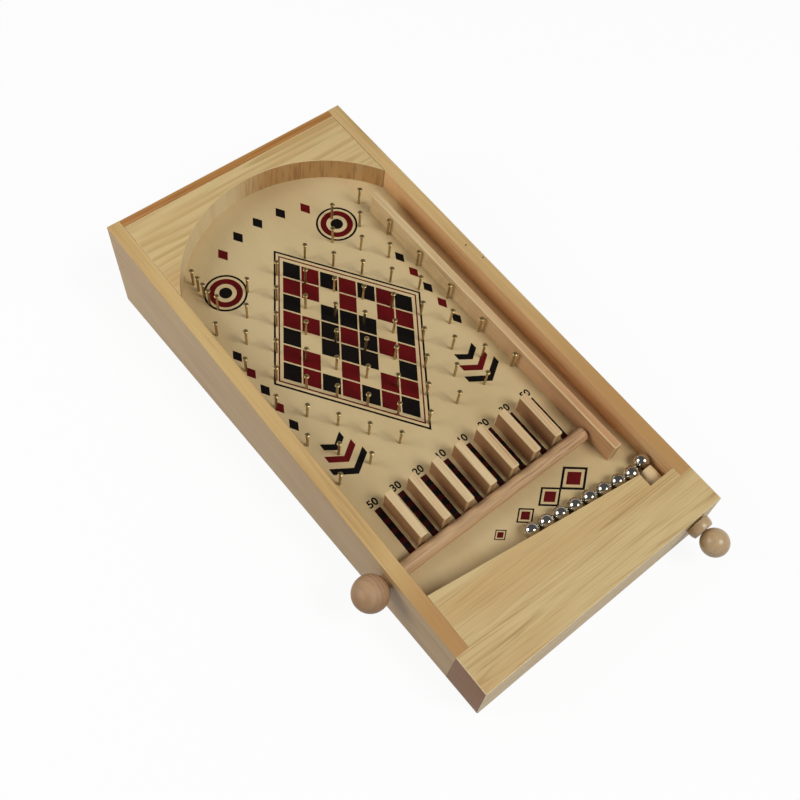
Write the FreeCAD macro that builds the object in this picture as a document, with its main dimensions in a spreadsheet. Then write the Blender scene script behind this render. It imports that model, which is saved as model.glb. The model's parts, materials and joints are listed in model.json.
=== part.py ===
import FreeCAD, Part
import math
import os

import Sketcher

# Tabletop bagatelle: a wooden wedge box with a sloping, nail-studded playfield, a sprung
# plunger in a launch lane on the right, eight scoring slots closed by a sliding release bar,
# and nine steel balls.  Millimetres, +Z up.
#
# Every wooden piece is drawn in the board's own axes: x to the right, y up the slope, z square
# to the playfield, with the origin at the near left corner of the rims.  The placement BOARD
# then tilts the whole set by the slope and stands it on the table.

doc = FreeCAD.newDocument("bagatelle")

SIZES = [
    # overall box
    ("width", 250.0, "outside width"),
    ("rim_length", 500.5, "length along the rims"),
    ("near_height", 54.0, "height of the near rim over the table"),
    ("slope", 5.73, "slope of the playfield in degrees"),
    ("end_lean", 2.87, "lean of both end faces from square to the rims, in degrees"),
    ("edge_round", 0.6, "rounding of the outer edges"),
    # casing
    ("side_thick", 12.5, "thickness of the side boards"),
    ("end_thick", 8.8, "thickness of the end board"),
    ("field_depth", 24.0, "rim to playfield"),
    ("panel_thick", 6.0, "thickness of the playfield panel"),
    ("panel_groove", 4.0, "depth of the grooves that hold the panel"),
    ("groove_play", 0.1, "play of the panel in its grooves and of the arch board"),
    # front block
    ("beam_depth", 33.5, "depth of the block's full-width beam"),
    ("ledge_left", 81.5, "ledge edge at the left side"),
    ("ledge_right", 54.3, "ledge edge at the launch notch"),
    ("notch_floor", 42.0, "bottom edge of the launch notch"),
    ("ledge_root", 5.0, "part of the ledge that lies in the beam"),
    # launch lane and arch
    ("lane_wall_thick", 7.2, "thickness of the lane wall"),
    ("lane_wide", 18.9, "width of the launch lane"),
    ("lane_wall_near", 82.0, "near end of the lane wall"),
    ("lane_wall_far", 399.0, "far end of the lane wall"),
    ("lane_nose", 3.2, "rounding of the lane wall's far nose"),
    ("lane_ease", 1.0, "chamfer of the lane wall's top edges"),
    ("lane_drift", 2.2, "how far the lane wall's far end stands to the left"),
    ("arch_x", 127.0, "arch centre from the left"),
    ("arch_y", 348.2, "arch centre up the slope"),
    ("arch_radius", 127.8, "radius of the arch"),
    ("arch_gap", 0.8, "gap between the arch board's tip and the right side"),
    # scoring slots
    ("divider_count", 7, "number of dividers"),
    ("divider_first", 42.1, "centre of the first divider"),
    ("divider_pitch", 23.73, "spacing of the dividers"),
    ("divider_thick", 7.4, "thickness of a divider"),
    ("divider_near", 119.2, "near end of the dividers"),
    ("divider_long", 45.3, "length of a divider"),
    ("divider_drop", 2.0, "top of the dividers below the rims"),
    ("divider_ease", 1.2, "rounding of a divider's top edges"),
    # nails
    ("pin_first_row", 197.8, "first nail row"),
    ("pin_row_pitch", 21.35, "spacing of the nail rows"),
    ("pin_first_x", 21.8, "first nail of an even row"),
    ("pin_pitch", 30.83, "spacing of the nails in a row"),
    ("pin_rows", 10, "full nail rows"),
    ("pin_columns", 7, "nails of an even row"),
    ("pin_extra", 2, "nails at the right end of one more row"),
    ("small_sides", 8, "sides of a nail or of the spring wire"),
    ("pin_tall", 20.8, "nail height over the playfield"),
    ("pin_sunk", 4.5, "nail length in the panel"),
    ("pin_radius", 0.8, "radius of the nail shank"),
    ("pin_head_radius", 2.2, "radius of the nail head"),
    ("pin_head_thick", 0.9, "thickness of the nail head's rim"),
    ("pin_crown", 0.75, "radius of the head's flat top as a share of the head's"),
    ("guide_count", 4, "nails of the guide row at the left"),
    ("guide_x", 34.5, "guide row from the left"),
    ("guide_first", 398.6, "first nail of the guide row"),
    ("guide_pitch", 8.2, "spacing of the guide row"),
    # release bar
    ("axis_depth", 17.0, "bar and plunger axes below the rims"),
    ("bar_radius", 6.0, "radius of the release bar"),
    ("bar_y", 111.4, "release bar up the slope"),
    ("bar_end", 209.5, "right end of the release bar"),
    ("bar_ease", 1.6, "chamfer of the bar's end"),
    ("bar_knob_radius", 15.0, "radius of the release knob"),
    ("bar_knob_clear", 0.4, "gap from the release knob to the side"),
    ("running_clear", 0.075, "radial clearance of a sliding dowel"),
    # plunger
    ("plunger_x", 227.5, "plunger axis from the left"),
    ("striker_radius", 6.0, "radius of the striker"),
    ("striker_tip", 56.8, "striker end at rest"),
    ("striker_long", 21.0, "length of the striker"),
    ("striker_ease", 0.5, "chamfer of the striker's end"),
    ("spring_bore_radius", 6.4, "radius of the spring bore"),
    ("spring_bore_end", 7.0, "bottom of the spring bore"),
    ("rod_radius", 3.0, "radius of the plunger rod"),
    ("rod_socket", 10.0, "depth of the rod in the striker and the knob"),
    ("collar_radius", 10.4, "radius of the collar bead"),
    ("collar_back", 1.7, "collar bead's flat face in front of the near rim"),
    ("collar_thick", 8.4, "thickness of the collar bead"),
    ("collar_belly", 0.35, "widest ring from the flat face, as a share of the thickness"),
    ("plunger_knob_radius", 12.0, "radius of the plunger knob"),
    ("knob_gap", 0.1, "gap between the collar bead and the plunger knob"),
    ("spring_turns", 7, "turns of the spring"),
    ("spring_steps", 12, "straight runs that stand for one turn"),
    ("spring_radius", 4.9, "mean radius of the spring"),
    ("spring_wire", 0.45, "radius of the spring wire"),
    ("spring_play", 0.2, "play of the spring between its two seats"),
    # balls
    ("ball_radius", 7.0, "radius of a ball"),
    ("ball_gap", 0.1, "gap under and beside a ball"),
    ("ball_pitch", 14.3, "spacing of the waiting balls"),
    ("ball_row_count", 8, "balls waiting on the ledge"),
    ("ball_row_first_x", 215.6, "first waiting ball from the left"),
]

sheet = doc.addObject("Spreadsheet::Sheet", "Sizes")
for row, (alias, value, note) in enumerate(SIZES, start=1):
    sheet.set(f"A{row}", note)
    sheet.set(f"B{row}", str(value))
    sheet.setAlias(f"B{row}", alias)
doc.recompute()

# Expressions below write a sheet value as {alias}; ref() turns it into the sheet's own name.
ALIASES = {alias: f"Sizes.{alias}" for alias, _, _ in SIZES}


def ref(text):
    """The FreeCAD expression for a text with {alias} places."""
    return text.format_map(ALIASES)


def val(text):
    """The number that such an expression has now."""
    result = sheet.evalExpression(ref(text))
    return float(getattr(result, "Value", result))


# Lines of the wedge in board axes.  TABLE_Z is the table's height under a place y on the rims.
# FOOT_Y is where an end face that starts at y on the rims stands on the table: both end faces
# lean the same way, between plumb and square to the rims.
COS = "cos({slope})"
SIN = "sin({slope})"
LEAN = "tan({end_lean})"
TABLE_Z = "-({near_height} + (%s) * " + SIN + ") / " + COS
FOOT_Y = "((%s) - " + LEAN + " * {near_height} / " + COS + ") / (1 + " + LEAN + " * tan({slope}))"
RIGHT_IN = "{width} - {side_thick}"
PANEL_TOP = "-{field_depth}"
PANEL_BOTTOM = "-({field_depth} + {panel_thick})"
END_INNER = "{rim_length} - {end_thick}"
PANEL_FAR = END_INNER + " + {panel_groove} / 2"
LANE_LEFT = "{width} - {side_thick} - {lane_wide}"
STRIKER_BACK = "{striker_tip} - {striker_long}"

# The origin is the middle of the footprint, knobs included, on the table.
LOW_X = val("-({bar_knob_clear} + 2 * {bar_knob_radius})")
KNOB_SEAT = "sqrt({plunger_knob_radius}^2 - {rod_radius}^2)"
KNOB_Y = "-({collar_back} + {collar_thick} + {knob_gap} + " + KNOB_SEAT + ")"
LOW_Y = val(f"({KNOB_Y}) * {COS} + {{axis_depth}} * {SIN} - {{plunger_knob_radius}}")
FAR_FOOT = FOOT_Y % "{rim_length}"
HIGH_Y = val(f"({FAR_FOOT}) * {COS} - ({TABLE_Z % FAR_FOOT}) * {SIN}")
CENTRE = FreeCAD.Vector((LOW_X + val("{width}")) / 2, (LOW_Y + HIGH_Y) / 2, 0)
BOARD = FreeCAD.Placement(
    FreeCAD.Vector(-CENTRE.x, -CENTRE.y, val("{near_height}")),
    FreeCAD.Rotation(FreeCAD.Vector(1, 0, 0), val("{slope}")),
)


# --- drawing helpers ---------------------------------------------------------------------

def new_body(label):
    """A body in board axes whose label names its node."""
    body = doc.addObject("PartDesign::Body", label)
    body.Label = label
    body.Placement = BOARD
    return body


def new_sketch(body, name, plane, offset="0"):
    """A sketch on one of the body's origin planes, moved along the plane's normal."""
    sketch = body.newObject("Sketcher::SketchObject", name)
    support = next(f for f in body.Origin.OriginFeatures if f.Role == plane)
    sketch.AttachmentSupport = [(support, "")]
    sketch.MapMode = "FlatFace"
    sketch.setExpression("AttachmentOffset.Base.z", ref(offset))
    return sketch


def pin_down(sketch, geo, pos, x_text, y_text):
    """Dimension one point of a sketch from the origin, bound to the sheet."""
    for kind, text, axis in (("DistanceX", x_text, -2), ("DistanceY", y_text, -1)):
        value = val(text)
        if abs(value) < 1e-9:
            sketch.addConstraint(Sketcher.Constraint("PointOnObject", geo, pos, axis))
            continue
        number = sketch.addConstraint(Sketcher.Constraint(kind, -1, 1, geo, pos, value))
        sketch.setExpression(f"Constraints[{number}]", ref(text))


def polygon(sketch, corners):
    """A closed outline through corners, each a pair of expressions."""
    points = [FreeCAD.Vector(val(x), val(y), 0) for x, y in corners]
    count = len(points)
    for k in range(count):
        sketch.addGeometry(Part.LineSegment(points[k], points[(k + 1) % count]), False)
    for k in range(count):
        sketch.addConstraint(Sketcher.Constraint("Coincident", k, 2, (k + 1) % count, 1))
    for k, (x, y) in enumerate(corners):
        pin_down(sketch, k, 1, x, y)


def circle(sketch, x, y, radius):
    """A circle with its centre and radius bound to the sheet."""
    centre = FreeCAD.Vector(val(x), val(y), 0)
    geo = sketch.addGeometry(Part.Circle(centre, FreeCAD.Vector(0, 0, 1), val(radius)), False)
    pin_down(sketch, geo, 3, x, y)
    number = sketch.addConstraint(Sketcher.Constraint("Radius", geo, val(radius)))
    sketch.setExpression(f"Constraints[{number}]", ref(radius))


def pad(body, sketch, length, flip=False):
    """Pad a sketch by a bound length, along its normal unless flipped."""
    feature = body.newObject("PartDesign::Pad", sketch.Name + "_pad")
    feature.Profile = sketch
    feature.Reversed = flip
    feature.setExpression("Length", ref(length))
    sketch.Visibility = False
    return feature


def pocket(body, sketch, depth=None, flip=False):
    """Cut a sketch to a bound depth, or right through when there is no depth."""
    doc.recompute()
    before = body.Shape.Volume
    feature = body.newObject("PartDesign::Pocket", sketch.Name + "_cut")
    feature.Profile = sketch
    feature.Reversed = flip
    if depth is None:
        feature.Type = "ThroughAll"
        feature.Midplane = True
    else:
        feature.setExpression("Length", ref(depth))
    doc.recompute()
    if body.Shape.Volume >= before:
        raise RuntimeError(f"{feature.Name} cuts nothing")
    return feature


def edges_where(body, test):
    """Names of the tip's edges whose midpoint, in board axes, passes a test."""
    doc.recompute()
    names = []
    for number, edge in enumerate(body.Tip.Shape.Edges, start=1):
        middle = edge.valueAt((edge.FirstParameter + edge.LastParameter) / 2)
        if test(middle):
            names.append(f"Edge{number}")
    return names


def dress(body, kind, size, test):
    """Fillet or chamfer the edges that pass a test."""
    names = edges_where(body, test)
    base = body.Tip
    if not names:
        raise RuntimeError(f"{body.Label}: no edge to dress")
    feature = body.newObject(f"PartDesign::{kind}", f"{body.Label}_{kind.lower()}")
    feature.Base = (base, names)
    feature.setExpression("Radius" if kind == "Fillet" else "Size", ref(size))
    body.Tip = feature
    doc.recompute()
    return feature


def near(value, text):
    """Whether a coordinate equals an expression's value."""
    return abs(value - val(text)) < 0.02


def primitive(kind, name, sizes, place=FreeCAD.Placement()):
    """A Part primitive with bound sizes."""
    solid = doc.addObject(f"Part::{kind}", name)
    for prop, text in sizes.items():
        solid.setExpression(prop, ref(text))
    solid.Placement = place
    return solid


def boolean(kind, label, base, tool):
    """A Part boolean of two objects, placed on the board."""
    result = doc.addObject(f"Part::{kind}", label)
    result.Label = label
    result.Base = base
    result.Tool = tool
    result.Placement = BOARD
    return result


ALONG_X = FreeCAD.Rotation(FreeCAD.Vector(0, 0, 1), FreeCAD.Vector(1, 0, 0))
ALONG_Y = FreeCAD.Rotation(FreeCAD.Vector(0, 0, 1), FreeCAD.Vector(0, 1, 0))


def at(x, y, z, turn=FreeCAD.Rotation()):
    """A placement in board axes from three expressions."""
    return FreeCAD.Placement(FreeCAD.Vector(val(x), val(y), val(z)), turn)


# --- casing ------------------------------------------------------------------------------

def end_face(rim_y):
    """The corners of an end face in a side view, from the rim down to its foot on the table."""
    foot = FOOT_Y % rim_y
    return [(rim_y, "0"), (foot, TABLE_Z % foot)]


def side_board(label, outer_x, inner_x, bored):
    """A wedge-shaped side with a groove for the panel, and the bar's hole if bored."""
    body = new_body(label)
    profile = new_sketch(body, label + "_profile", "YZ_Plane", outer_x)
    polygon(profile, [
        ("{beam_depth}", "0"),
        *end_face("{rim_length}"),
        ("{beam_depth}", TABLE_Z % "{beam_depth}"),
    ])
    inward = val(inner_x) > val(outer_x)
    pad(body, profile, "{side_thick}", flip=not inward)
    groove = new_sketch(body, label + "_groove", "YZ_Plane", inner_x)
    polygon(groove, [
        ("{beam_depth}", PANEL_TOP),
        (PANEL_FAR, PANEL_TOP),
        (PANEL_FAR, PANEL_BOTTOM),
        ("{beam_depth}", PANEL_BOTTOM),
    ])
    pocket(body, groove, "{panel_groove} + {groove_play}", flip=not inward)
    if bored:
        hole = new_sketch(body, label + "_bar_hole", "YZ_Plane", outer_x)
        circle(hole, "{bar_y}", "-{axis_depth}", "{bar_radius} + {running_clear}")
        pocket(body, hole)
    dress(body, "Fillet", "{edge_round}",
          lambda p: near(p.x, outer_x) and (near(p.z, "0") or p.y > val(FAR_FOOT)))
    return body


def end_board():
    """The leaning board at the far end, between the sides, grooved for the panel."""
    body = new_body("end_board")
    profile = new_sketch(body, "end_profile", "YZ_Plane", "{side_thick}")
    polygon(profile, end_face("{rim_length}") + end_face(END_INNER)[::-1])
    pad(body, profile, "{width} - 2 * {side_thick}")
    groove = new_sketch(body, "end_groove", "YZ_Plane", "{side_thick}")
    start = END_INNER + " - {panel_groove}"
    polygon(groove, [
        (start, PANEL_TOP),
        (PANEL_FAR, PANEL_TOP),
        (PANEL_FAR, PANEL_BOTTOM),
        (start, PANEL_BOTTOM),
    ])
    pocket(body, groove)
    return body


def front_block():
    """The beam across the front with its ledge over the playfield, bored for the plunger."""
    body = new_body("front_block")
    beam = new_sketch(body, "beam_profile", "YZ_Plane")
    polygon(beam, [
        ("0", "0"),
        ("{beam_depth}", "0"),
        ("{beam_depth}", TABLE_Z % "{beam_depth}"),
        end_face("0")[1],
    ])
    pad(body, beam, "{width}")
    ledge = new_sketch(body, "ledge_outline", "XY_Plane")
    polygon(ledge, [
        ("{side_thick}", "{beam_depth} - {ledge_root}"),
        (RIGHT_IN, "{beam_depth} - {ledge_root}"),
        (RIGHT_IN, "{notch_floor}"),
        (LANE_LEFT + " - {lane_wall_thick}", "{notch_floor}"),
        (LANE_LEFT + " - {lane_wall_thick}", "{ledge_right}"),
        ("{side_thick}", "{ledge_left}"),
    ])
    pad(body, ledge, "{field_depth}", flip=True)
    bore = new_sketch(body, "spring_bore", "XZ_Plane", "-{notch_floor}")
    circle(bore, "{plunger_x}", "-{axis_depth}", "{spring_bore_radius}")
    pocket(body, bore, "{notch_floor} - {spring_bore_end}", flip=True)
    hole = new_sketch(body, "rod_hole", "XZ_Plane", "-{notch_floor}")
    circle(hole, "{plunger_x}", "-{axis_depth}", "{rod_radius} + {running_clear}")
    pocket(body, hole)

    def outer(p):
        """The near rim's edge, and the rim and corner edges of both outer sides."""
        at_side = near(p.x, "0") or near(p.x, "{width}")
        return near(p.y, "0") and near(p.z, "0") or at_side and (near(p.z, "0") or p.y < 0)

    dress(body, "Fillet", "{edge_round}", outer)
    return body


def playfield():
    """The panel, held in the grooves.  The nails are driven into it, without bores."""
    panel = primitive("Box", "playfield", {
        "Length": "{width} - 2 * {side_thick} + 2 * {panel_groove}",
        "Width": PANEL_FAR + " - {beam_depth} - {groove_play}",
        "Height": "{panel_thick}",
    })
    panel.Placement = BOARD.multiply(at("{side_thick} - {panel_groove}", "{beam_depth}", PANEL_BOTTOM))
    return panel


def arch_board():
    """The thick board at the far end whose curved wall turns the ball into the field."""
    body = new_body("arch_board")
    outline = new_sketch(body, "arch_outline", "XY_Plane")
    left = "{side_thick} + {groove_play}"
    right = RIGHT_IN + " - {arch_gap}"
    far = "{rim_length}"
    rise = "{arch_y} + sqrt({arch_radius}^2 - ((%s) - {arch_x})^2)"
    corners = [(left, rise % left), (left, far), (right, far), (right, rise % right)]
    points = [FreeCAD.Vector(val(x), val(y), 0) for x, y in corners]
    for k in range(3):
        outline.addGeometry(Part.LineSegment(points[k], points[k + 1]), False)
    centre = FreeCAD.Vector(val("{arch_x}"), val("{arch_y}"), 0)
    full = Part.Circle(centre, FreeCAD.Vector(0, 0, 1), val("{arch_radius}"))
    start = math.atan2(points[3].y - centre.y, points[3].x - centre.x)
    stop = math.atan2(points[0].y - centre.y, points[0].x - centre.x)
    arc = outline.addGeometry(Part.ArcOfCircle(full, start, stop), False)
    for constraint in (("Coincident", 0, 2, 1, 1), ("Coincident", 1, 2, 2, 1),
                       ("Coincident", 2, 2, arc, 1), ("Coincident", arc, 2, 0, 1),
                       ("Vertical", 0), ("Horizontal", 1), ("Vertical", 2)):
        outline.addConstraint(Sketcher.Constraint(*constraint))
    pin_down(outline, arc, 3, "{arch_x}", "{arch_y}")
    pin_down(outline, 1, 1, left, far)
    width = outline.addConstraint(Sketcher.Constraint("DistanceX", 1, 1, 1, 2, val(right) - val(left)))
    outline.setExpression(f"Constraints[{width}]", ref(f"({right}) - ({left})"))
    radius = outline.addConstraint(Sketcher.Constraint("Radius", arc, val("{arch_radius}")))
    outline.setExpression(f"Constraints[{radius}]", ref("{arch_radius}"))
    pad(body, outline, "{field_depth}", flip=True)
    back = new_sketch(body, "arch_back_cut", "YZ_Plane")
    polygon(back, [
        (f"{END_INNER} + {{near_height}} * {LEAN}", "{near_height}"),
        (f"{END_INNER} - {{near_height}} * {LEAN}", "-{near_height}"),
        ("{rim_length} + {near_height}", "-{near_height}"),
        ("{rim_length} + {near_height}", "{near_height}"),
    ])
    pocket(body, back)
    return body


def lane_wall():
    """The strip between the field and the launch lane, with a rounded far nose."""
    body = new_body("lane_wall")
    outline = new_sketch(body, "lane_outline", "XY_Plane")
    left = LANE_LEFT + " - {lane_wall_thick}"
    polygon(outline, [
        (left, "{lane_wall_near}"),
        (LANE_LEFT, "{lane_wall_near}"),
        (LANE_LEFT + " - {lane_drift}", "{lane_wall_far}"),
        (left + " - {lane_drift}", "{lane_wall_far}"),
    ])
    pad(body, outline, "{field_depth}", flip=True)
    dress(body, "Fillet", "{lane_nose}",
          lambda p: near(p.z, "-{field_depth} / 2") and near(p.y, "{lane_wall_far}"))
    dress(body, "Chamfer", "{lane_ease}", lambda p: near(p.z, "0"))
    return body


# --- slot dividers -----------------------------------------------------------------------

def divider(number):
    """One divider; the first is number 1 at the left."""
    body = new_body(f"divider_{number}")
    outline = new_sketch(body, f"divider_{number}_outline", "XY_Plane", "-{divider_drop}")
    middle = f"{{divider_first}} + {number - 1} * {{divider_pitch}}"
    left, right = middle + " - {divider_thick} / 2", middle + " + {divider_thick} / 2"
    far = "{divider_near} + {divider_long}"
    polygon(outline, [(left, "{divider_near}"), (right, "{divider_near}"), (right, far), (left, far)])
    pad(body, outline, "{field_depth} - {divider_drop}", flip=True)
    dress(body, "Fillet", "{divider_ease}", lambda p: near(p.z, "-{divider_drop}"))
    return body


# --- nails -------------------------------------------------------------------------------

def pin_places():
    """Where the nails of the lattice stand, on the panel's top face.

    Even rows hold one nail more than odd rows, which stand half a pitch to the right.  A few
    more nails stand beyond the last row, under the arch.
    """
    places = []
    columns = int(val("{pin_columns}"))
    for line in range(int(val("{pin_rows}"))):
        odd = line % 2
        for column in range(columns - odd):
            places.append(FreeCAD.Vector(
                val("{pin_first_x}") + (column + odd / 2) * val("{pin_pitch}"),
                val("{pin_first_row}") + line * val("{pin_row_pitch}"), -val("{field_depth}")))
    last = val("{pin_first_row} + {pin_rows} * {pin_row_pitch}")
    for column in range(columns - int(val("{pin_extra}")), columns):
        places.append(FreeCAD.Vector(
            val("{pin_first_x}") + column * val("{pin_pitch}"), last, -val("{field_depth}")))
    return places


def guide_places():
    """Where the four close-set nails stand, at the left of the arch."""
    return [
        FreeCAD.Vector(val("{guide_x}"), val("{guide_first}") + k * val("{guide_pitch}"),
                       -val("{field_depth}"))
        for k in range(int(val("{guide_count}")))
    ]


def ring(radius, z):
    """A regular outline round the Z axis, with few sides because it is repeated so often."""
    sides = int(val("{small_sides}"))
    turn = 2 * math.pi / sides
    return Part.makePolygon([
        FreeCAD.Vector(radius * math.cos(k * turn), radius * math.sin(k * turn), z)
        for k in range(sides + 1)
    ])


def nail():
    """One flat-head nail whose shank meets the panel's top face at the origin."""
    shank, head = val("{pin_radius}"), val("{pin_head_radius}")
    tall, rim = val("{pin_tall}"), val("{pin_head_thick}")
    stations = [
        (shank, -val("{pin_sunk}")),
        (shank, tall - 2 * rim),
        (head, tall - rim),
        (head * val("{pin_crown}"), tall),
    ]
    return Part.makeLoft([ring(radius, z) for radius, z in stations], True, True)


def nail_group(label, places):
    """A group of nails, one solid at each place."""
    group = doc.addObject("Part::Feature", label)
    group.Label = label
    one = nail()
    solids = []
    for place in places:
        solid = one.copy()
        solid.translate(place)
        solids.append(solid)
    group.Shape = Part.makeCompound(solids)
    group.Placement = BOARD
    return group


# --- release bar -------------------------------------------------------------------------

def knob_centre_x():
    """Centre of the release knob, just clear of the left side."""
    return "-({bar_knob_clear} + {bar_knob_radius})"


def release_bar():
    """The dowel that closes the slots, run through the left side."""
    body = new_body("release_bar")
    start = knob_centre_x()
    section = new_sketch(body, "bar_section", "YZ_Plane", start)
    circle(section, "{bar_y}", "-{axis_depth}", "{bar_radius}")
    pad(body, section, f"{{bar_end}} - ({start})")
    dress(body, "Chamfer", "{bar_ease}", lambda p: near(p.x, "{bar_end}"))
    return body


def release_knob():
    """The turned ball on the bar's outer end, with a blind bore for the bar."""
    x = knob_centre_x()
    ball = primitive("Sphere", "release_ball", {"Radius": "{bar_knob_radius}"},
                     at(x, "{bar_y}", "-{axis_depth}"))
    bore = primitive("Cylinder", "release_socket",
                     {"Radius": "{bar_radius}", "Height": "2 * {bar_knob_radius}"},
                     at(x, "{bar_y}", "-{axis_depth}", ALONG_X))
    return boolean("Cut", "release_knob", ball, bore)


# --- plunger -----------------------------------------------------------------------------

def plunger_rod():
    """The thin rod that joins striker, collar and knob."""
    start = f"{KNOB_Y} + {KNOB_SEAT} - {{rod_socket}}"
    rod = primitive("Cylinder", "plunger_rod", {
        "Radius": "{rod_radius}",
        "Height": f"{STRIKER_BACK} + {{rod_socket}} - ({start})",
    })
    rod.Placement = BOARD.multiply(at("{plunger_x}", start, "-{axis_depth}", ALONG_Y))
    return rod


def plunger_striker():
    """The dowel that strikes the ball, eased at its end and bored for the rod."""
    body = new_body("plunger_striker")
    section = new_sketch(body, "striker_section", "XZ_Plane", f"-({STRIKER_BACK})")
    circle(section, "{plunger_x}", "-{axis_depth}", "{striker_radius}")
    pad(body, section, "{striker_long}", flip=True)
    socket = new_sketch(body, "striker_socket", "XZ_Plane", f"-({STRIKER_BACK})")
    circle(socket, "{plunger_x}", "-{axis_depth}", "{rod_radius}")
    pocket(body, socket, "{rod_socket}")
    dress(body, "Chamfer", "{striker_ease}", lambda p: near(p.y, "{striker_tip}"))
    return body


def plunger_collar():
    """The bead that stops the plunger against the block: a ball flattened on both sides."""
    ball = primitive("Sphere", "collar_ball", {"Radius": "{collar_radius}"},
                     at("{plunger_x}", "-({collar_back} + {collar_belly} * {collar_thick})",
                        "-{axis_depth}"))
    slab = primitive("Cylinder", "collar_slab",
                     {"Radius": "2 * {collar_radius}", "Height": "{collar_thick}"},
                     at("{plunger_x}", "-({collar_back} + {collar_thick})", "-{axis_depth}",
                        ALONG_Y))
    bead = doc.addObject("Part::Common", "collar_bead")
    bead.Base = ball
    bead.Tool = slab
    bore = primitive("Cylinder", "collar_bore",
                     {"Radius": "{rod_radius}", "Height": "4 * {collar_radius}"},
                     at("{plunger_x}", "-2 * {collar_radius}", "-{axis_depth}", ALONG_Y))
    return boolean("Cut", "plunger_collar", bead, bore)


def plunger_knob():
    """The turned ball that is pulled, with a blind bore for the rod."""
    ball = primitive("Sphere", "plunger_ball", {"Radius": "{plunger_knob_radius}"},
                     at("{plunger_x}", KNOB_Y, "-{axis_depth}"))
    bore = primitive("Cylinder", "plunger_socket",
                     {"Radius": "{rod_radius}", "Height": "2 * {plunger_knob_radius}"},
                     at("{plunger_x}", f"{KNOB_Y} + {KNOB_SEAT} - {{rod_socket}}",
                        "-{axis_depth}", ALONG_Y))
    return boolean("Cut", "plunger_knob", ball, bore)


def plunger_spring():
    """The compression spring round the rod, between the bore's bottom and the striker."""
    room = val(f"{STRIKER_BACK} - {{spring_bore_end}} - 2 * {{spring_wire}} - {{spring_play}}")
    steps = int(val("{spring_turns} * {spring_steps}"))
    turn = 2 * math.pi / val("{spring_steps}")
    radius = val("{spring_radius}")
    path = Part.makePolygon([
        FreeCAD.Vector(radius * math.cos(k * turn), radius * math.sin(k * turn), room * k / steps)
        for k in range(steps + 1)
    ])
    start, ahead = path.Vertexes[0].Point, path.Vertexes[1].Point - path.Vertexes[0].Point
    section = ring(val("{spring_wire}"), 0)
    section.Placement = FreeCAD.Placement(
        start, FreeCAD.Rotation(FreeCAD.Vector(0, 0, 1), ahead))
    spring = doc.addObject("Part::Feature", "plunger_spring")
    mitred = 1
    spring.Shape = path.makePipeShell([section], True, False, mitred)
    spring.Placement = BOARD.multiply(
        at("{plunger_x}", "{spring_bore_end} + {spring_wire} + {spring_play} / 2",
           "-{axis_depth}", ALONG_Y))
    return spring


# --- balls -------------------------------------------------------------------------------

def ball(label, x, y):
    """A steel ball on the playfield."""
    solid = primitive("Sphere", label, {"Radius": "{ball_radius}"})
    solid.Placement = BOARD.multiply(
        at(x, y, "-{field_depth} + {ball_radius} + {ball_gap}"))
    return solid


def waiting_balls():
    """The balls that lie against the slanting ledge, the first beside the launch notch."""
    fall = math.atan2(val("{ledge_left} - {ledge_right}"),
                      val("{width} - 2 * {side_thick} - {lane_wide} - {lane_wall_thick}"))
    off = val("{ball_radius} + {ball_gap}") / math.cos(fall)
    corner_x = val(LANE_LEFT + " - {lane_wall_thick}")
    balls = []
    for number in range(int(val("{ball_row_count}"))):
        x = val("{ball_row_first_x}") - number * val("{ball_pitch}") * math.cos(fall)
        y = val("{ledge_right}") + (corner_x - x) * math.tan(fall) + off
        balls.append(ball(f"ball_{number + 2}", str(x), str(y)))
    return balls


nodes = [
    side_board("left_side", "0", "{side_thick}", True),
    side_board("right_side", "{width}", RIGHT_IN, False),
    end_board(),
    front_block(),
    playfield(),
    arch_board(),
    lane_wall(),
    nail_group("field_pins", pin_places()),
    nail_group("guide_pins", guide_places()),
    release_bar(),
    release_knob(),
    plunger_rod(),
    plunger_striker(),
    plunger_collar(),
    plunger_knob(),
    plunger_spring(),
    ball("ball_1", RIGHT_IN + " - {ball_radius} - {ball_gap}",
         "{striker_tip} + {ball_radius} + {ball_gap}"),
]
nodes += [divider(number) for number in range(1, int(val("{divider_count}")) + 1)]
nodes += waiting_balls()
doc.recompute()

for obj in doc.Objects:
    if "Invalid" in obj.State or "Error" in obj.State:
        raise RuntimeError(f"{obj.Label} failed: {obj.State}")
for node in nodes:
    if node.Shape.isNull() or not node.Shape.isValid() or not node.Shape.Solids:
        raise RuntimeError(f"{node.Label} has no valid solid")

os.makedirs("parts", exist_ok=True)
for node in nodes:
    node.Shape.exportStep(f"parts/{node.Label}.step")
print(f"{len(nodes)} pieces written")
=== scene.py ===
import json
import logging
import math
from collections.abc import Callable, Iterable, Sequence
from dataclasses import dataclass, field, replace
from enum import Enum
from functools import partial, reduce

import bmesh
import bpy
import numpy as np
from mathutils import Matrix, Vector


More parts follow.
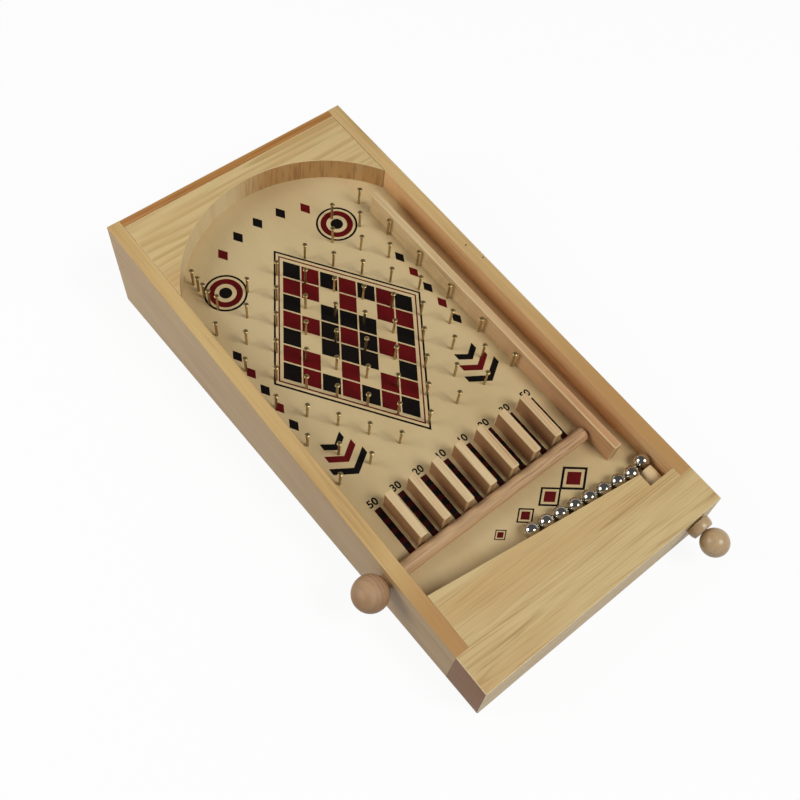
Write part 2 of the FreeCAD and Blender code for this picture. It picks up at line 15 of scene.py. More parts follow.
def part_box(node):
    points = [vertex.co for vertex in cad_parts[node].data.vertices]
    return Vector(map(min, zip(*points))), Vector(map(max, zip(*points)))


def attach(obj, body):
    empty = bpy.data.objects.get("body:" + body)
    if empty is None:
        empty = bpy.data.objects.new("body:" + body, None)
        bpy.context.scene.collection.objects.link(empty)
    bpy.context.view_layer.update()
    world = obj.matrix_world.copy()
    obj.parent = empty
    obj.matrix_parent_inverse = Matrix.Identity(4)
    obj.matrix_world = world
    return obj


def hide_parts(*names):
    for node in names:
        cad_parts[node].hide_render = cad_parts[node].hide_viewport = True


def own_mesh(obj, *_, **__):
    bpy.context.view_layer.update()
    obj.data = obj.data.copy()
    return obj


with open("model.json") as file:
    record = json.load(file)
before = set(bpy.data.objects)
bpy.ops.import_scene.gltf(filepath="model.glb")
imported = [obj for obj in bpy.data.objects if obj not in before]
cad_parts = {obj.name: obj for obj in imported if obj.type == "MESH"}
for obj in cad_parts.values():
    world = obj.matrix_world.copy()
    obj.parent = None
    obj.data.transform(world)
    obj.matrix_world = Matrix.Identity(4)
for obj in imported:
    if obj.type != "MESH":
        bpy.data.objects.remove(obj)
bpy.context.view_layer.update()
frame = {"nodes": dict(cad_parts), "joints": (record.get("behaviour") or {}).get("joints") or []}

log = logging.getLogger("bagatelle")

MM = 0.001
TAU = 2 * math.pi
RIM_LENGTH = 500.5
END_LEAN = math.radians(2.87)
# the playfield's depth under the rims, and half the thickness that its print is drawn with
FIELD_DEPTH = 24.0
INK_THICK = 0.03
# faces that meet at more than this keep a sharp edge, on turned parts and on sawn boards; edges
# over the next are sanded round, and what is under the last counts as flat
CREASE = math.radians(35)
SAWN_CREASE = math.radians(30)
SANDED = math.radians(40)
FLAT = math.radians(0.4)
# the edges that run along a board are longer than this, in metres; points nearer to each other
# than the next two, on turned parts and on sawn boards, are one
LONG_EDGE = 20 * MM
WELD = 1e-7
SAWN_WELD = 1e-6
# patterns are laid out in millimetres
PER_MM = (1 / MM,) * 3
COAT_IOR = 1.5
Pair = tuple[float, float]
Place = tuple[float, float, float]
Colour = tuple[float, float, float, float]
Piece = bpy.types.Object
Material = bpy.types.Material
Node = bpy.types.Node
Adder = Callable[..., Node]


# --- the box's own axes ------------------------------------------------------------------

@dataclass(frozen=True)
class RimFrame:
    """Axes that lie in the plane of the rims: x across, y up the slope, z square to the rims.

    Attributes:
        origin: The near left corner of the rims in the row frame, in millimetres.
        slope: The slope of the playfield, in radians.
    """

    origin: Place
    slope: float

    @classmethod
    def from_cad(cls) -> "RimFrame":
        """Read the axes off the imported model.

        Returns:
            The frame whose slope is the plunger's and whose corner is the front block's.
        """
        axis = next(j for j in frame["joints"] if j["name"] == "plunger_pull")["axis"]
        slope = math.atan2(-axis[2], -axis[1])
        near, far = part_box("front_block")[0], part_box("left_side")[1]
        height = far.z / MM - RIM_LENGTH * math.sin(slope)
        return cls((near.x / MM, near.y / MM, height), slope)

    def row(self, points: np.ndarray) -> np.ndarray:
        """Turn points by the slope and move them to the corner of the rims.

        Args:
            points: An array whose last axis is x, y, z in millimetres.

        Returns:
            The same points in the row frame, in metres.
        """
        sine, cosine = math.sin(self.slope), math.cos(self.slope)
        turn = np.array([[1, 0, 0], [0, cosine, -sine], [0, sine, cosine]])
        return (np.asarray(points, float) @ turn.T + self.origin) * MM


RIM = RimFrame.from_cad()


# --- meshes ------------------------------------------------------------------------------

def placed(name: str, data: bpy.types.ID) -> Piece:
    """Make an object of its data and link it to the scene.

    Args:
        name: The object's name.
        data: A mesh, a text, a lamp or a camera.

    Returns:
        The object, at the origin.
    """
    made = bpy.data.objects.new(name, data)
    bpy.context.scene.collection.objects.link(made)
    return made


@dataclass
class Skin:
    """The points, in rim millimetres, and the faces of one closed surface."""

    points: np.ndarray
    faces: list[list[int]]

    @classmethod
    def joined(cls, skins: Iterable["Skin"]) -> "Skin":
        """Put several surfaces into one.

        Args:
            skins: The surfaces.

        Returns:
            One surface whose faces count on through the points of all of them.
        """
        points, faces, start = [], [], 0
        for skin in skins:
            points.append(skin.points)
            faces += [[corner + start for corner in face] for face in skin.faces]
            start += len(skin.points)
        return cls(np.concatenate(points), faces)

    def piece(self, name: str, material: Material) -> Piece:
        """Make an object of the surface, smooth but for its sharp edges.

        Args:
            name: The piece's name.
            material: Its finish.

        Returns:
            The object, at the origin, with its place in its mesh.
        """
        mesh = bpy.data.meshes.new(name)
        mesh.from_pydata(RIM.row(self.points).tolist(), [], self.faces)
        work = bmesh.new()
        work.from_mesh(mesh)
        bmesh.ops.remove_doubles(work, verts=work.verts, dist=WELD)
        bmesh.ops.recalc_face_normals(work, faces=work.faces)
        work.to_mesh(mesh)
        work.free()
        mesh.shade_smooth()
        mesh.set_sharp_from_angle(angle=CREASE)
        mesh.materials.append(material)
        return placed(name, mesh)


def loft(loops: np.ndarray, ring: bool = False) -> Skin:
    """Join closed loops into a skin: row i of the grid is loop i, column j its point j.

    Args:
        loops: Points of shape (loops, points, 3).
        ring: Whether the last loop joins the first again, instead of both being capped.

    Returns:
        The closed skin.
    """
    rows, columns = loops.shape[:2]
    index = np.arange(rows * columns).reshape(rows, columns)
    after = np.roll(index, -1, 0) if ring else index[1:]
    before = index if ring else index[:-1]
    quads = np.stack([before, np.roll(before, -1, 1), np.roll(after, -1, 1), after], axis=-1)
    faces = quads.reshape(-1, 4).tolist()
    if not ring:
        faces += [index[0, ::-1].tolist(), index[-1].tolist()]
    return Skin(loops.reshape(-1, 3), faces)


def lathe(profile: Sequence[Pair], start: Sequence[float], axis: Sequence[float],
          count: int) -> Skin:
    """Turn a profile round an axis: a point is start + along * axis + radius * (cos a, sin a).

    Args:
        profile: Pairs of the distance along the axis and the radius, from end to end.
        start: Where distance 0 lies.
        axis: The unit vector of the axis.
        count: Points round the axis.

    Returns:
        The closed skin.
    """
    along, radius = np.array(profile, float).T
    axis = np.array(axis, float)
    side = np.cross(axis, [0.0, 0.0, 1.0] if abs(axis[2]) < 0.9 else [1.0, 0.0, 0.0])
    side /= np.linalg.norm(side)
    up = np.cross(axis, side)
    angle = np.arange(count) / count * TAU
    spoke = np.cos(angle)[:, None] * side + np.sin(angle)[:, None] * up
    loops = (np.array(start, float) + along[:, None, None] * axis
             + radius[:, None, None] * spoke[None])
    return loft(loops)


def arc(centre: Pair, radius: float, first: float, last: float, count: int) -> np.ndarray:
    """Points of an arc: centre + radius * (cos a, sin a), with a from first to last.

    Args:
        centre: The centre's x and y.
        radius: The radius.
        first: The first angle in degrees.
        last: The last angle in degrees.
        count: The number of points, both ends included.

    Returns:
        An array of shape (count, 2).
    """
    angle = np.radians(np.linspace(first, last, count))
    return np.asarray(centre, float) + radius * np.stack([np.cos(angle), np.sin(angle)], axis=1)


def rectangle(left: float, right: float, near: float, far: float) -> np.ndarray:
    """The four corners of a rectangle, of shape (4, 2)."""
    return np.array([[left, near], [right, near], [right, far], [left, far]])


def lozenge(x: float, y: float, half_x: float, half_y: float) -> np.ndarray:
    """The four corners of a lozenge, its centre plus a half diagonal each way, of shape (4, 2)."""
    return np.array([[x + half_x, y], [x, y + half_y], [x - half_x, y], [x, y - half_y]])


def circle(centre: Pair, radius: float, count: int) -> np.ndarray:
    """Points all round a circle, of shape (count, 2)."""
    return arc(centre, radius, 0, 360 * (count - 1) / count, count)


def raised(outline: np.ndarray, z: float) -> np.ndarray:
    """An outline of shape (count, 2) at a height, of shape (count, 3)."""
    return np.column_stack([outline, np.full(len(outline), z)])


def prism(outline: np.ndarray, low: float, high: float,
          low_outline: np.ndarray | None = None) -> Skin:
    """Carry an outline square to the rims: loop 0 is the outline at low, loop 1 at high.

    Args:
        outline: Points of shape (count, 2).
        low: The lower z.
        high: The upper z.
        low_outline: Another outline of as many points for the lower end.

    Returns:
        The closed skin.
    """
    feet = outline if low_outline is None else low_outline
    return loft(np.stack([raised(feet, low), raised(outline, high)]))


def eased(piece: Piece, width: float, segments: int = 3, worn: Material | None = None) -> Piece:
    """Round the sharp edges of a piece, as sandpaper does.

    Args:
        piece: The piece.
        width: The rounding's width in millimetres.
        segments: Faces across the rounding.
        worn: A finish for the rounded edges alone; a paler one paints a highlight there.

    Returns:
        The piece.
    """
    bevel = piece.modifiers.new("eased edges", "BEVEL")
    bevel.width = width * MM
    bevel.segments = segments
    bevel.limit_method = "ANGLE"
    bevel.angle_limit = SANDED
    bevel.harden_normals = True
    # a paler finish on the rounded edges stands for rubbed lacquer and paints a highlight along
    # them
    if worn is not None:
        piece.data.materials.append(worn)
        bevel.material = len(piece.data.materials) - 1
    return piece


def softened(node: str, name: str, width: float, material: Material, worn: Material) -> Piece:
    """Copy a sawn board, merge its loose triangles into flat faces and round its top's long edges.

    Args:
        node: The board's CAD node.
        name: The piece's name.
        width: The rounding's width in millimetres.
        material: The finish.
        worn: The finish of the rounded edges; a paler one paints a highlight there.

    Returns:
        The piece.
    """
    mesh = frame["nodes"][node].data.copy()
    mesh.name = name
    work = bmesh.new()
    work.from_mesh(mesh)
    bmesh.ops.remove_doubles(work, verts=work.verts, dist=SAWN_WELD)
    bmesh.ops.dissolve_limit(work, angle_limit=FLAT, verts=work.verts, edges=work.edges)
    # only the long edges in the plane of the rims; bores, grooves and joints stay as they were cut
    weight = work.edges.layers.float.new("bevel_weight_edge")
    up = Vector(Grain.UPRIGHT.axis())
    level = up.dot(Vector(RIM.row(np.zeros(3))))
    for edge in work.edges:
        at_top = all(abs(up.dot(end.co) - level) < 0.5 * MM for end in edge.verts)
        edge[weight] = float(at_top and edge.calc_face_angle(0.0) > SANDED
                             and edge.calc_length() > LONG_EDGE)
    # the long faces under a millimetre wide are those of edges that are rounded already; they take
    # the edge finish too, with its painted highlight where it has one
    for face in work.faces:
        longest = max(edge.calc_length() for edge in face.edges)
        face.material_index = int(longest > LONG_EDGE and face.calc_area() / longest < 1 * MM)
    work.to_mesh(mesh)
    work.free()
    mesh.shade_smooth()
    mesh.set_sharp_from_angle(angle=SAWN_CREASE)
    slots = np.zeros(len(mesh.polygons), dtype=np.int32)
    mesh.polygons.foreach_get("material_index", slots)
    mesh.materials.clear()
    mesh.materials.append(material)
    made = placed(name, mesh)
    bevel = eased(made, width, worn=worn).modifiers[0]
    bevel.limit_method = "WEIGHT"
    bevel.use_clamp_overlap = False
    mesh.polygons.foreach_set("material_index", slots)
    return made


# --- finishes ----------------------------------------------------------------------------

def linear(colour: str) -> Colour:
    """The linear colour of an sRGB hex value.

    Args:
        colour: Six hex digits after a hash.

    Returns:
        Red, green, blue and an alpha of 1.
    """
    parts = [int(colour[k:k + 2], 16) / 255 for k in (1, 3, 5)]
    bright = [c / 12.92 if c <= 0.04045 else ((c + 0.055) / 1.055) ** 2.4 for c in parts]
    return bright[0], bright[1], bright[2], 1.0


# settings of nodes that come back in several finishes; a soft step goes from 0 at its first place
# to 1 at its second, whichever of them is further on
TIMES = {"operation": "MULTIPLY"}
TIMES_PLUS = {"operation": "MULTIPLY_ADD"}
LARGER = {"operation": "MAXIMUM"}
SOFT = {"interpolation_type": "SMOOTHSTEP"}
BLEND = {"data_type": "RGBA"}


def add_node(tree: bpy.types.NodeTree, kind: str, settings: dict[str, object] | None = None,
             *feeds: object, **named: object) -> Node:
    """Add a node to a tree, with its settings and what feeds its inputs.

    A feed is a value, a socket, or a node, which stands for the first of its outputs in use.

    Args:
        tree: The node tree.
        kind: The node's type name without its ShaderNode.
        settings: Values of its properties.
        feeds: What feeds its inputs in use, in their order.
        named: What feeds its other inputs, by their name with _ for a space.

    Returns:
        The node.
    """
    node = tree.nodes.new(f"ShaderNode{kind}")
    for key, value in (settings or {}).items():
        setattr(node, key, value)
    sockets = [socket for socket in node.inputs if socket.enabled][:len(feeds)]
    sockets += [node.inputs[key.replace("_", " ")] for key in named]
    for socket, feed in zip(sockets, (*feeds, *named.values())):
        if isinstance(feed, Node):
            feed = next(output for output in feed.outputs if output.enabled)
        if isinstance(feed, bpy.types.NodeSocket):
            tree.links.new(feed, socket)
        else:
            socket.default_value = feed
    return node


def new_material(name: str) -> tuple[Material, Adder]:
    """Make an empty material.

    Args:
        name: The material's name.

    Returns:
        The material, and add_node for its tree.
    """
    material = bpy.data.materials.new(name)
    material.use_nodes = True
    material.node_tree.nodes.clear()
    return material, partial(add_node, material.node_tree)


class Grain(Enum):
    """Which way the fibres of a piece of wood run, in rim axes."""

    ACROSS = "x"
    UPHILL = "y"
    UPRIGHT = "z"

    def turn(self) -> Place:
        """Work out the turn of a pattern.

        Returns:
            The rotation that brings the fibres to the pattern's x axis.
        """
        quarter = math.pi / 2
        extra = {"x": (0, 0), "y": (0, -quarter), "z": (quarter, 0)}[self.value]
        return -RIM.slope, extra[0], extra[1]

    def axis(self) -> Place:
        """Work out where the fibres point.

        Returns:
            Their direction in the row frame.
        """
        sine, cosine = math.sin(RIM.slope), math.cos(RIM.slope)
        axes = {"x": (1.0, 0.0, 0.0), "y": (0.0, cosine, sine), "z": (0.0, -sine, cosine)}
        return axes[self.value]


def drawn_out(add: Adder, board: Node, stretch: float, per_mm: float,
              detail: float = 1.0) -> Node:
    """Lumps of noise that are drawn out along the fibres.

    Args:
        add: Adds a node to the finish.
        board: The place in the wood, in millimetres.
        stretch: How many times longer than wide a lump is.
        per_mm: Lumps to a millimetre across the fibres.
        detail: How many finer rounds of noise lie in them.

    Returns:
        The noise.
    """
    shrunk = add("VectorMath", TIMES, board, (1 / stretch, 1.0, 1.0))
    return add("TexNoise", Vector=shrunk, Scale=per_mm, Detail=detail)


def facing(add: Adder, place: Node, way: Grain) -> Node:
    """How squarely the surface faces along an axis, from 0 to 1."""
    dot = add("VectorMath", {"operation": "DOT_PRODUCT"}, place.outputs["Normal"], way.axis())
    return add("Math", {"operation": "ABSOLUTE"}, dot)


@dataclass(frozen=True)
class Timber:
    """Sawn and sanded wood under a thin satin lacquer.

    The eye sees year rings as soft bands that wander along the board and fade in and out, bundles
    of thin darker streaks that run with them, warmer wood towards the heart, fine fibres, and
    darker end grain where the rings show as arcs. A tint on the faces square to the rims paints
    light on some boards and shade on others.

    Attributes:
        early: The pale spring wood.
        late: The darker summer wood of a ring.
        heart: The warmer wood towards the heart.
        streak: The colour of the thin streaks.
        end: The colour that end grain goes towards.
        ring: Width of a year ring in millimetres.
        band: How strongly the rings show.
        streaks: How strongly the streaks show.
        gap: Distance between streaks in millimetres.
        long: How many times longer than the gap a streak is.
        hair: How strongly hairlines of half that gap show between them.
        fibre: How strongly the fibres show.
        warm: How strongly the heart's colour shows where it drifts in.
        wander: How many ring widths the heart wanders.
        fade: Over how many millimetres across the rings fade in and out.
        bundle: Distance between bundles of streaks in millimetres.
        thread: Distance between fibres in millimetres.
        cloud: Size of the clouds of warm wood in millimetres.
        cheek: The colour that faces square to the rims go towards: painted light where
            it is paler than the wood, painted shade where it is darker.
        worn: How far they go towards it.
        rough: Roughness of the lacquer.
        shine: Specular level of the lacquer.
    """

    early: str
    late: str
    heart: str
    streak: str
    end: str
    ring: float = 4.0
    band: float = 0.6
    streaks: float = 0.55
    gap: float = 3.0
    long: float = 22.0
    hair: float = 0.25
    fibre: float = 0.3
    warm: float = 0.55
    wander: float = 3.4
    fade: float = 11.0
    bundle: float = 26.0
    thread: float = 1.1
    cloud: float = 30.0
    cheek: str = "#A87C50"
    worn: float = 0.0
    rough: float = 0.42
    shine: float = 0.15

    def material(self, name: str, grain: Grain, pith: Place, lean: Pair = (0.0, 0.0),
                 warm_ends: Sequence[Pair] = (), warm_cheeks: bool = False) -> Material:
        """The finish for one piece.

        Args:
            name: The material's name.
            grain: The way the fibres run.
            pith: The tree's heart in turned rim millimetres: along, and twice across.
            lean: Degrees by which the heart leans away from the fibres' axis.
            warm_ends: Pairs of where along its top the wood is all heart, and where no longer.
            warm_cheeks: Whether that holds for its other faces too.

        Returns:
            The material.
        """
        material, add = new_material(name)
        along, across, out = grain.turn()
        lean_y, lean_z = (math.radians(a) for a in lean)
        place = add("TexCoord")
        board = add("Mapping", Vector=place.outputs["Object"], Scale=PER_MM, Location=pith,
                    Rotation=(along, across + lean_y, out + lean_z))

        # rings: the distance from a wandering heart, in ring widths
        wander = self.wander * self.ring
        drift = drawn_out(add, board, 14.0, 0.045, 2.0)
        bent = add("VectorMath", TIMES_PLUS, drift.outputs["Color"], (0.0, wander, wander), board)
        flat = add("VectorMath", TIMES, bent, (0.0, 1.0, 1.0))
        radius = add("VectorMath", {"operation": "LENGTH"}, flat)
        season = add("Math", {"operation": "FRACT"}, add("Math", TIMES, radius, 1 / self.ring))
        summer = add("Math", TIMES, add("MapRange", SOFT, season, 0.12, 0.85),
                     add("MapRange", SOFT, season, 0.84, 1.0, 1.0, 0.0))
        fade = add("MapRange", SOFT, drawn_out(add, bent, 9.0, 1 / self.fade), 0.34, 0.66, 0.2, 1.0)
        rings = add("Math", TIMES, summer, fade)

        # streaks: tall lumps of a drawn-out noise, in bundles
        lump = add("MapRange", SOFT, drawn_out(add, bent, self.long, 1 / self.gap, 2.0), 0.47, 0.73)
        bundle = add("MapRange", SOFT, drawn_out(add, bent, 4.0, 1 / self.bundle),
                     0.38, 0.62, 0.12, 1.0)
        hair = add("MapRange", SOFT, drawn_out(add, board, 1.6 * self.long, 2 / self.gap),
                   0.5, 0.72, 0.0, self.hair)
        thin = add("Math", TIMES, add("Math", TIMES, lump, bundle), self.streaks)
        streak = add("Math", LARGER, thin, hair)
        fibre = drawn_out(add, board, 50.0, 1 / self.thread, 3.0)
        fine = add("Math", TIMES_PLUS, fibre, self.fibre, -0.5 * self.fibre)
        level = add("Math", TIMES_PLUS | {"use_clamp": True}, rings, self.band, fine)

        # warm wood where it drifts in, and towards the ends that are named
        warm = add("MapRange", SOFT, drawn_out(add, board, 7.0, 1 / self.cloud, 2.0),
                   0.42, 0.66, 0.0, self.warm)
        reach = add("SeparateXYZ", Vector=bent)
        for full, none in warm_ends:
            close = add("MapRange", SOFT, reach, none + pith[0], full + pith[0])
            if not warm_cheeks:
                top = add("MapRange", SOFT, facing(add, place, Grain.UPRIGHT), 0.5, 0.9)
                close = add("Math", TIMES, close, top)
            warm = add("Math", LARGER, warm, close)

        wood = add("Mix", BLEND, level, linear(self.early), linear(self.late))
        wood = add("Mix", BLEND, warm, wood, linear(self.heart))
        # painted light and painted shade: faces square to the rims are tinted away from the top's
        # colour, as lamps would light or shade them
        if self.worn:
            cheek = add("MapRange", SOFT, facing(add, place, Grain.UPRIGHT),
                        0.3, 0.9, self.worn, 0.0)
            wood = add("Mix", BLEND, cheek, wood, linear(self.cheek))
        wood = add("Mix", BLEND, streak, wood, linear(self.streak))
        cut = add("MapRange", SOFT, facing(add, place, grain), 0.55, 0.95)
        arcs = add("Math", TIMES_PLUS, summer, 0.12, 0.85)
        colour = add("Mix", BLEND, add("Math", TIMES, cut, arcs), wood, linear(self.end))

        height = add("Math", {"operation": "SUBTRACT"}, fibre, streak)
        bump = add("Bump", Height=height, Strength=0.2, Distance=0.06 * MM)
        sheen = add("MapRange", None, fibre, 0.3, 0.7, self.rough - 0.05, self.rough + 0.07)
        surface = add("BsdfPrincipled", Base_Color=colour, Roughness=sheen, Normal=bump,
                      IOR=COAT_IOR, Specular_IOR_Level=self.shine)
        add("OutputMaterial", Surface=surface)
        return material


@dataclass(frozen=True)
class SawnCurve:
    """The band-sawn and sanded curve of the arched board, under satin lacquer.

    The eye sees upright saw marks in bundles, and wood that goes from pale to a pinkish brown
    at the steep left end and over the right half: partly cut fibres, partly painted shade.

    Attributes:
        centre: The arch's centre, in rim millimetres.
        radius: The arch's radius.
        pale: The colour of the middle and the left of the curve, where it runs with the fibres.
        brown: The colour of the steep left end and the right half: partly cut fibres, partly
            painted shade.
        mark: The colour of the saw marks.
        pitch: Distance between saw marks in millimetres.
        rough: Roughness of the lacquer.
    """

    centre: Pair
    radius: float
    pale: str = "#E8D4A6"
    brown: str = "#C2965E"
    mark: str = "#90663C"
    pitch: float = 2.4
    rough: float = 0.34

    def material(self, name: str) -> Material:
        """The finish: marks lie on the arc's length, which is radius times the angle.

        Args:
            name: The material's name.

        Returns:
            The material.
        """
        material, add = new_material(name)
        place = add("TexCoord")
        x, y, z = RIM.row(np.array([*self.centre, 0.0])) / MM
        sine, cosine = math.sin(RIM.slope), math.cos(RIM.slope)
        shift = (-x, -y * cosine - z * sine, y * sine - z * cosine)
        board = add("Mapping", Vector=place.outputs["Object"], Scale=PER_MM, Location=shift,
                    Rotation=(-RIM.slope, 0.0, 0.0))
        axes = add("SeparateXYZ", Vector=board).outputs
        angle = add("Math", {"operation": "ARCTAN2"}, axes["X"], axes["Y"])
        around = add("CombineXYZ", X=add("Math", TIMES, angle, self.radius),
                     Y=add("Math", TIMES, axes["Z"], 0.07))
        saw = add("TexNoise", Vector=around, Scale=1 / self.pitch, Detail=2.0)
        patch = add("TexNoise", Vector=around, Scale=0.06, Detail=1.0)

        # darker at the steep left end and over the right half: partly cut fibres, partly painted
        # shade where the curve turns from the light
        steep = add("MapRange", SOFT, angle, -1.15, -0.8, 0.4, -0.5)
        right = add("MapRange", SOFT, angle, -0.25, 0.25, -0.5, 0.5)
        across = add("Math", LARGER, steep, right)
        share = add("Math", {"operation": "ADD", "use_clamp": True}, across, patch)
        wood = add("Mix", BLEND, share, linear(self.pale), linear(self.brown))
        deep = add("MapRange", SOFT, saw, 0.48, 0.66, 0.0, 0.6)
        colour = add("Mix", BLEND, add("Math", TIMES, deep, share), wood, linear(self.mark))
        bump = add("Bump", Height=saw, Strength=0.25, Distance=0.08 * MM)
        surface = add("BsdfPrincipled", Base_Color=colour, Roughness=self.rough, Normal=bump,
                      IOR=COAT_IOR)
        add("OutputMaterial", Surface=surface)
        return material


@dataclass(frozen=True)
class BarePatch:
    """A patch of a coated board that is tinted darker, as painted shade.

    Attributes:
        colour: The colour of the painted shade.
        left: Row x of its left edge, in millimetres.
        near: Row y of its near end.
        far: Row y of its far end.
        edge: Over how many millimetres its left edge fades.
        fade: Over how many millimetres its ends fade.
    """

    colour: str
    left: float
    near: float
    far: float
    edge: float = 3.0
    fade: float = 30.0


@dataclass(frozen=True)
class Lacquer:
    """A smooth coat of paint or ink over board: an even colour with a faint mottle.

    The eye sees soft clouds in the tone and a satin gloss that the grain underneath barely stirs.

    Attributes:
        colour: The coat's colour.
        stain: The colour that the mottle goes towards.
        mottle: Size of the mottle in millimetres.
        amount: How strongly the mottle shows.
        rough: Roughness of the coat.
        shine: Specular level of the coat.
    """

    colour: str
    stain: str
    mottle: float = 60.0
    amount: float = 0.5
    rough: float = 0.4
    shine: float = 0.5

    def material(self, name: str, painted_shade: BarePatch | None = None) -> Material:
        """The finish, with fibres that show faintly along the slope.

        Args:
            name: The material's name.
            painted_shade: A patch that is tinted darker, as painted shade.

        Returns:
            The material.
        """
        material, add = new_material(name)
        place = add("TexCoord").outputs["Object"]
        board = add("Mapping", Vector=place, Scale=(1 / MM, 0.3 / MM, 1 / MM))
        cloud = add("TexNoise", Vector=board, Scale=1 / self.mottle, Detail=3.0)
        streak = add("TexNoise", Vector=board, Scale=0.35, Detail=2.0)
        both = add("Math", TIMES_PLUS, streak, 0.16, cloud)
        level = add("MapRange", SOFT, both, 0.40, 0.74, 0.0, self.amount)
        colour = add("Mix", BLEND, level, linear(self.colour), linear(self.stain))
        # painted shade: the patch is tinted darker, fading in at its left edge and at its ends
        if painted_shade is not None:
            axes = add("SeparateXYZ", Vector=place).outputs
            shade_fade_masks = [add("MapRange", SOFT, axes[axis], none * MM, full * MM)
                    for axis, none, full in (("X", painted_shade.left, painted_shade.left + painted_shade.edge),
                                             ("Y", painted_shade.near, painted_shade.near + painted_shade.fade),
                                             ("Y", painted_shade.far, painted_shade.far - painted_shade.fade))]
            share = reduce(partial(add, "Math", TIMES), shade_fade_masks)
            colour = add("Mix", BLEND, share, colour, linear(painted_shade.colour))
        bump = add("Bump", Height=streak, Strength=0.12, Distance=0.04 * MM)
        surface = add("BsdfPrincipled", Base_Color=colour, Roughness=self.rough, Normal=bump,
                      IOR=COAT_IOR, Specular_IOR_Level=self.shine)
        add("OutputMaterial", Surface=surface)
        return material


@dataclass(frozen=True)
class Metal:
    """Bare metal: its own colour in every reflection, with handling marks in the gloss.

    Attributes:
        colour: The metal's colour.
        worn: The colour where it has dulled.
        rough: Roughness where it is bright.
        dull: Roughness where it has dulled.
        mark: Size of the marks in millimetres.
    """

    colour: str
    worn: str
    rough: float
    dull: float
    mark: float

    def material(self, name: str) -> Material:
        """The finish.

        Args:
            name: The material's name.

        Returns:
            The material.
        """
        material, add = new_material(name)
        board = add("Mapping", Vector=add("TexCoord").outputs["Object"], Scale=PER_MM)
        cloud = add("TexNoise", Vector=board, Scale=1 / self.mark, Detail=3.0)
        colour = add("Mix", BLEND, cloud, linear(self.colour), linear(self.worn))
        gloss = add("MapRange", None, cloud, 0.3, 0.7, self.rough, self.dull)
        surface = add("BsdfPrincipled", Base_Color=colour, Metallic=1.0, Roughness=gloss)
        add("OutputMaterial", Surface=surface)
        return material


PINE = Timber(early="#DABE88", late="#C4A068", heart="#C0935E", streak="#A8865A", end="#8A6844",
              ring=3.4, long=34.0, hair=0.15, warm=0.6)
# the left side's faces square to the rims are tinted greyer and darker than its top: painted shade
LEFT_PINE = replace(PINE, early="#DAB97E", late="#C49B5C", cheek="#BA9C74", worn=0.6)
# the right side's faces square to the rims are tinted paler and pinker than its top: painted light
# on its inner face
RED_PINE = replace(PINE, early="#DBB980", heart="#C2955F", cheek="#F2C690", worn=0.85)
ARCH_PINE = replace(PINE, early="#DEC38C", late="#BE9C62", heart="#CFA870", ring=3.3, band=0.75,
                    streaks=0.2)
# the striker's pine is made paler than the block's: painted light on a part that sits in the
# block's shade
STRIKER_PINE_PAINTED_LIGHT = replace(PINE, early="#F0DAAE", late="#DCC08C", heart="#E4C290", streak="#BC9C6C")
# paler lacquer for rounded edges: rubbed lacquer, and a painted highlight along them
RUBBED_EDGE_PAINTED_HIGHLIGHT = Lacquer(colour="#E2C896", stain="#D2B07A", mottle=20.0, rough=0.35)
# the front block's edges are paler still, a stronger painted highlight
PALE_EDGE_PAINTED_HIGHLIGHT = replace(RUBBED_EDGE_PAINTED_HIGHLIGHT, colour="#E8D2A6", stain="#D4B884")
BLOCK_PINE = Timber(early="#DBC18C", late="#C8A86E", heart="#CFA870", streak="#9E7440",
                    end="#88542A", ring=6.5, band=0.33, gap=2.3, long=60.0, hair=0.3)
END_PINE = Timber(early="#C08A4E", late="#A2662E", heart="#C4885C", streak="#8A5A30", end="#6A4426",
                  ring=7.0, band=0.8)
# the dividers' faces square to the rims are tinted dark brown: painted shade in the slots
SLAT = Timber(early="#E4CA9E", late="#CDAA7A", heart="#D0A87C", streak="#A87C54", end="#B48E62",
              ring=3.0, band=0.5, streaks=0.8, gap=1.5, long=40.0, cheek="#96643E", worn=0.8)
LANE_WOOD = Timber(early="#DEC292", late="#CFAE7C", heart="#D0A074", streak="#A87C54",
                   end="#A87850", ring=3.4, band=0.4, streaks=0.5, gap=1.8, long=50.0, warm=0.0,
                   rough=0.24, shine=0.3)
DOWEL = Timber(early="#D3AE84", late="#AF8760", heart="#BE8F6E", streak="#83603F", end="#8C6648",
               ring=2.5, band=0.4, streaks=0.75, gap=1.4)
BEECH = Timber(early="#CEB388", late="#BA9A70", heart="#BE9A74", streak="#8E7050", end="#BC9C74",
               ring=2.6, band=0.35, streaks=0.4, gap=1.2, long=5.0, rough=0.3, shine=0.5)
BALL_BEECH = replace(BEECH, early="#BE9B76", late="#A67F60", heart="#AF8764", streak="#805E42",
                     end="#A88362", ring=4.5, band=0.7, rough=0.45, shine=0.2)
PANEL = Lacquer(colour="#D6BF91", stain="#C6A976", shine=0.3)
BLACK_INK = Lacquer(colour="#0E0B09", stain="#1A1310", mottle=12.0, rough=0.6, shine=0.1)
RED_INK = Lacquer(colour="#640A0C", stain="#4C0608", mottle=12.0, rough=0.6, shine=0.12)
MAROON_INK = Lacquer(colour="#44080A", stain="#1E0606", mottle=5.0, rough=0.6, shine=0.12)
BRASS = Metal(colour="#DCC48C", worn="#94794A", rough=0.3, dull=0.42, mark=2.0)
CHROME = Metal(colour="#DCDAD2", worn="#C0BCB2", rough=0.05, dull=0.11, mark=6.0)
SPRING_STEEL = Metal(colour="#B4B2AC", worn="#8E8C88", rough=0.25, dull=0.40, mark=3.0)


def dress(node: str, material: Material) -> None:
    """Give a CAD node a finish in place of its plain one.

    Args:
        node: The node's name.
        material: The finish.
    """
    mesh = frame["nodes"][node].data
    mesh.materials.clear()
    mesh.materials.append(material)


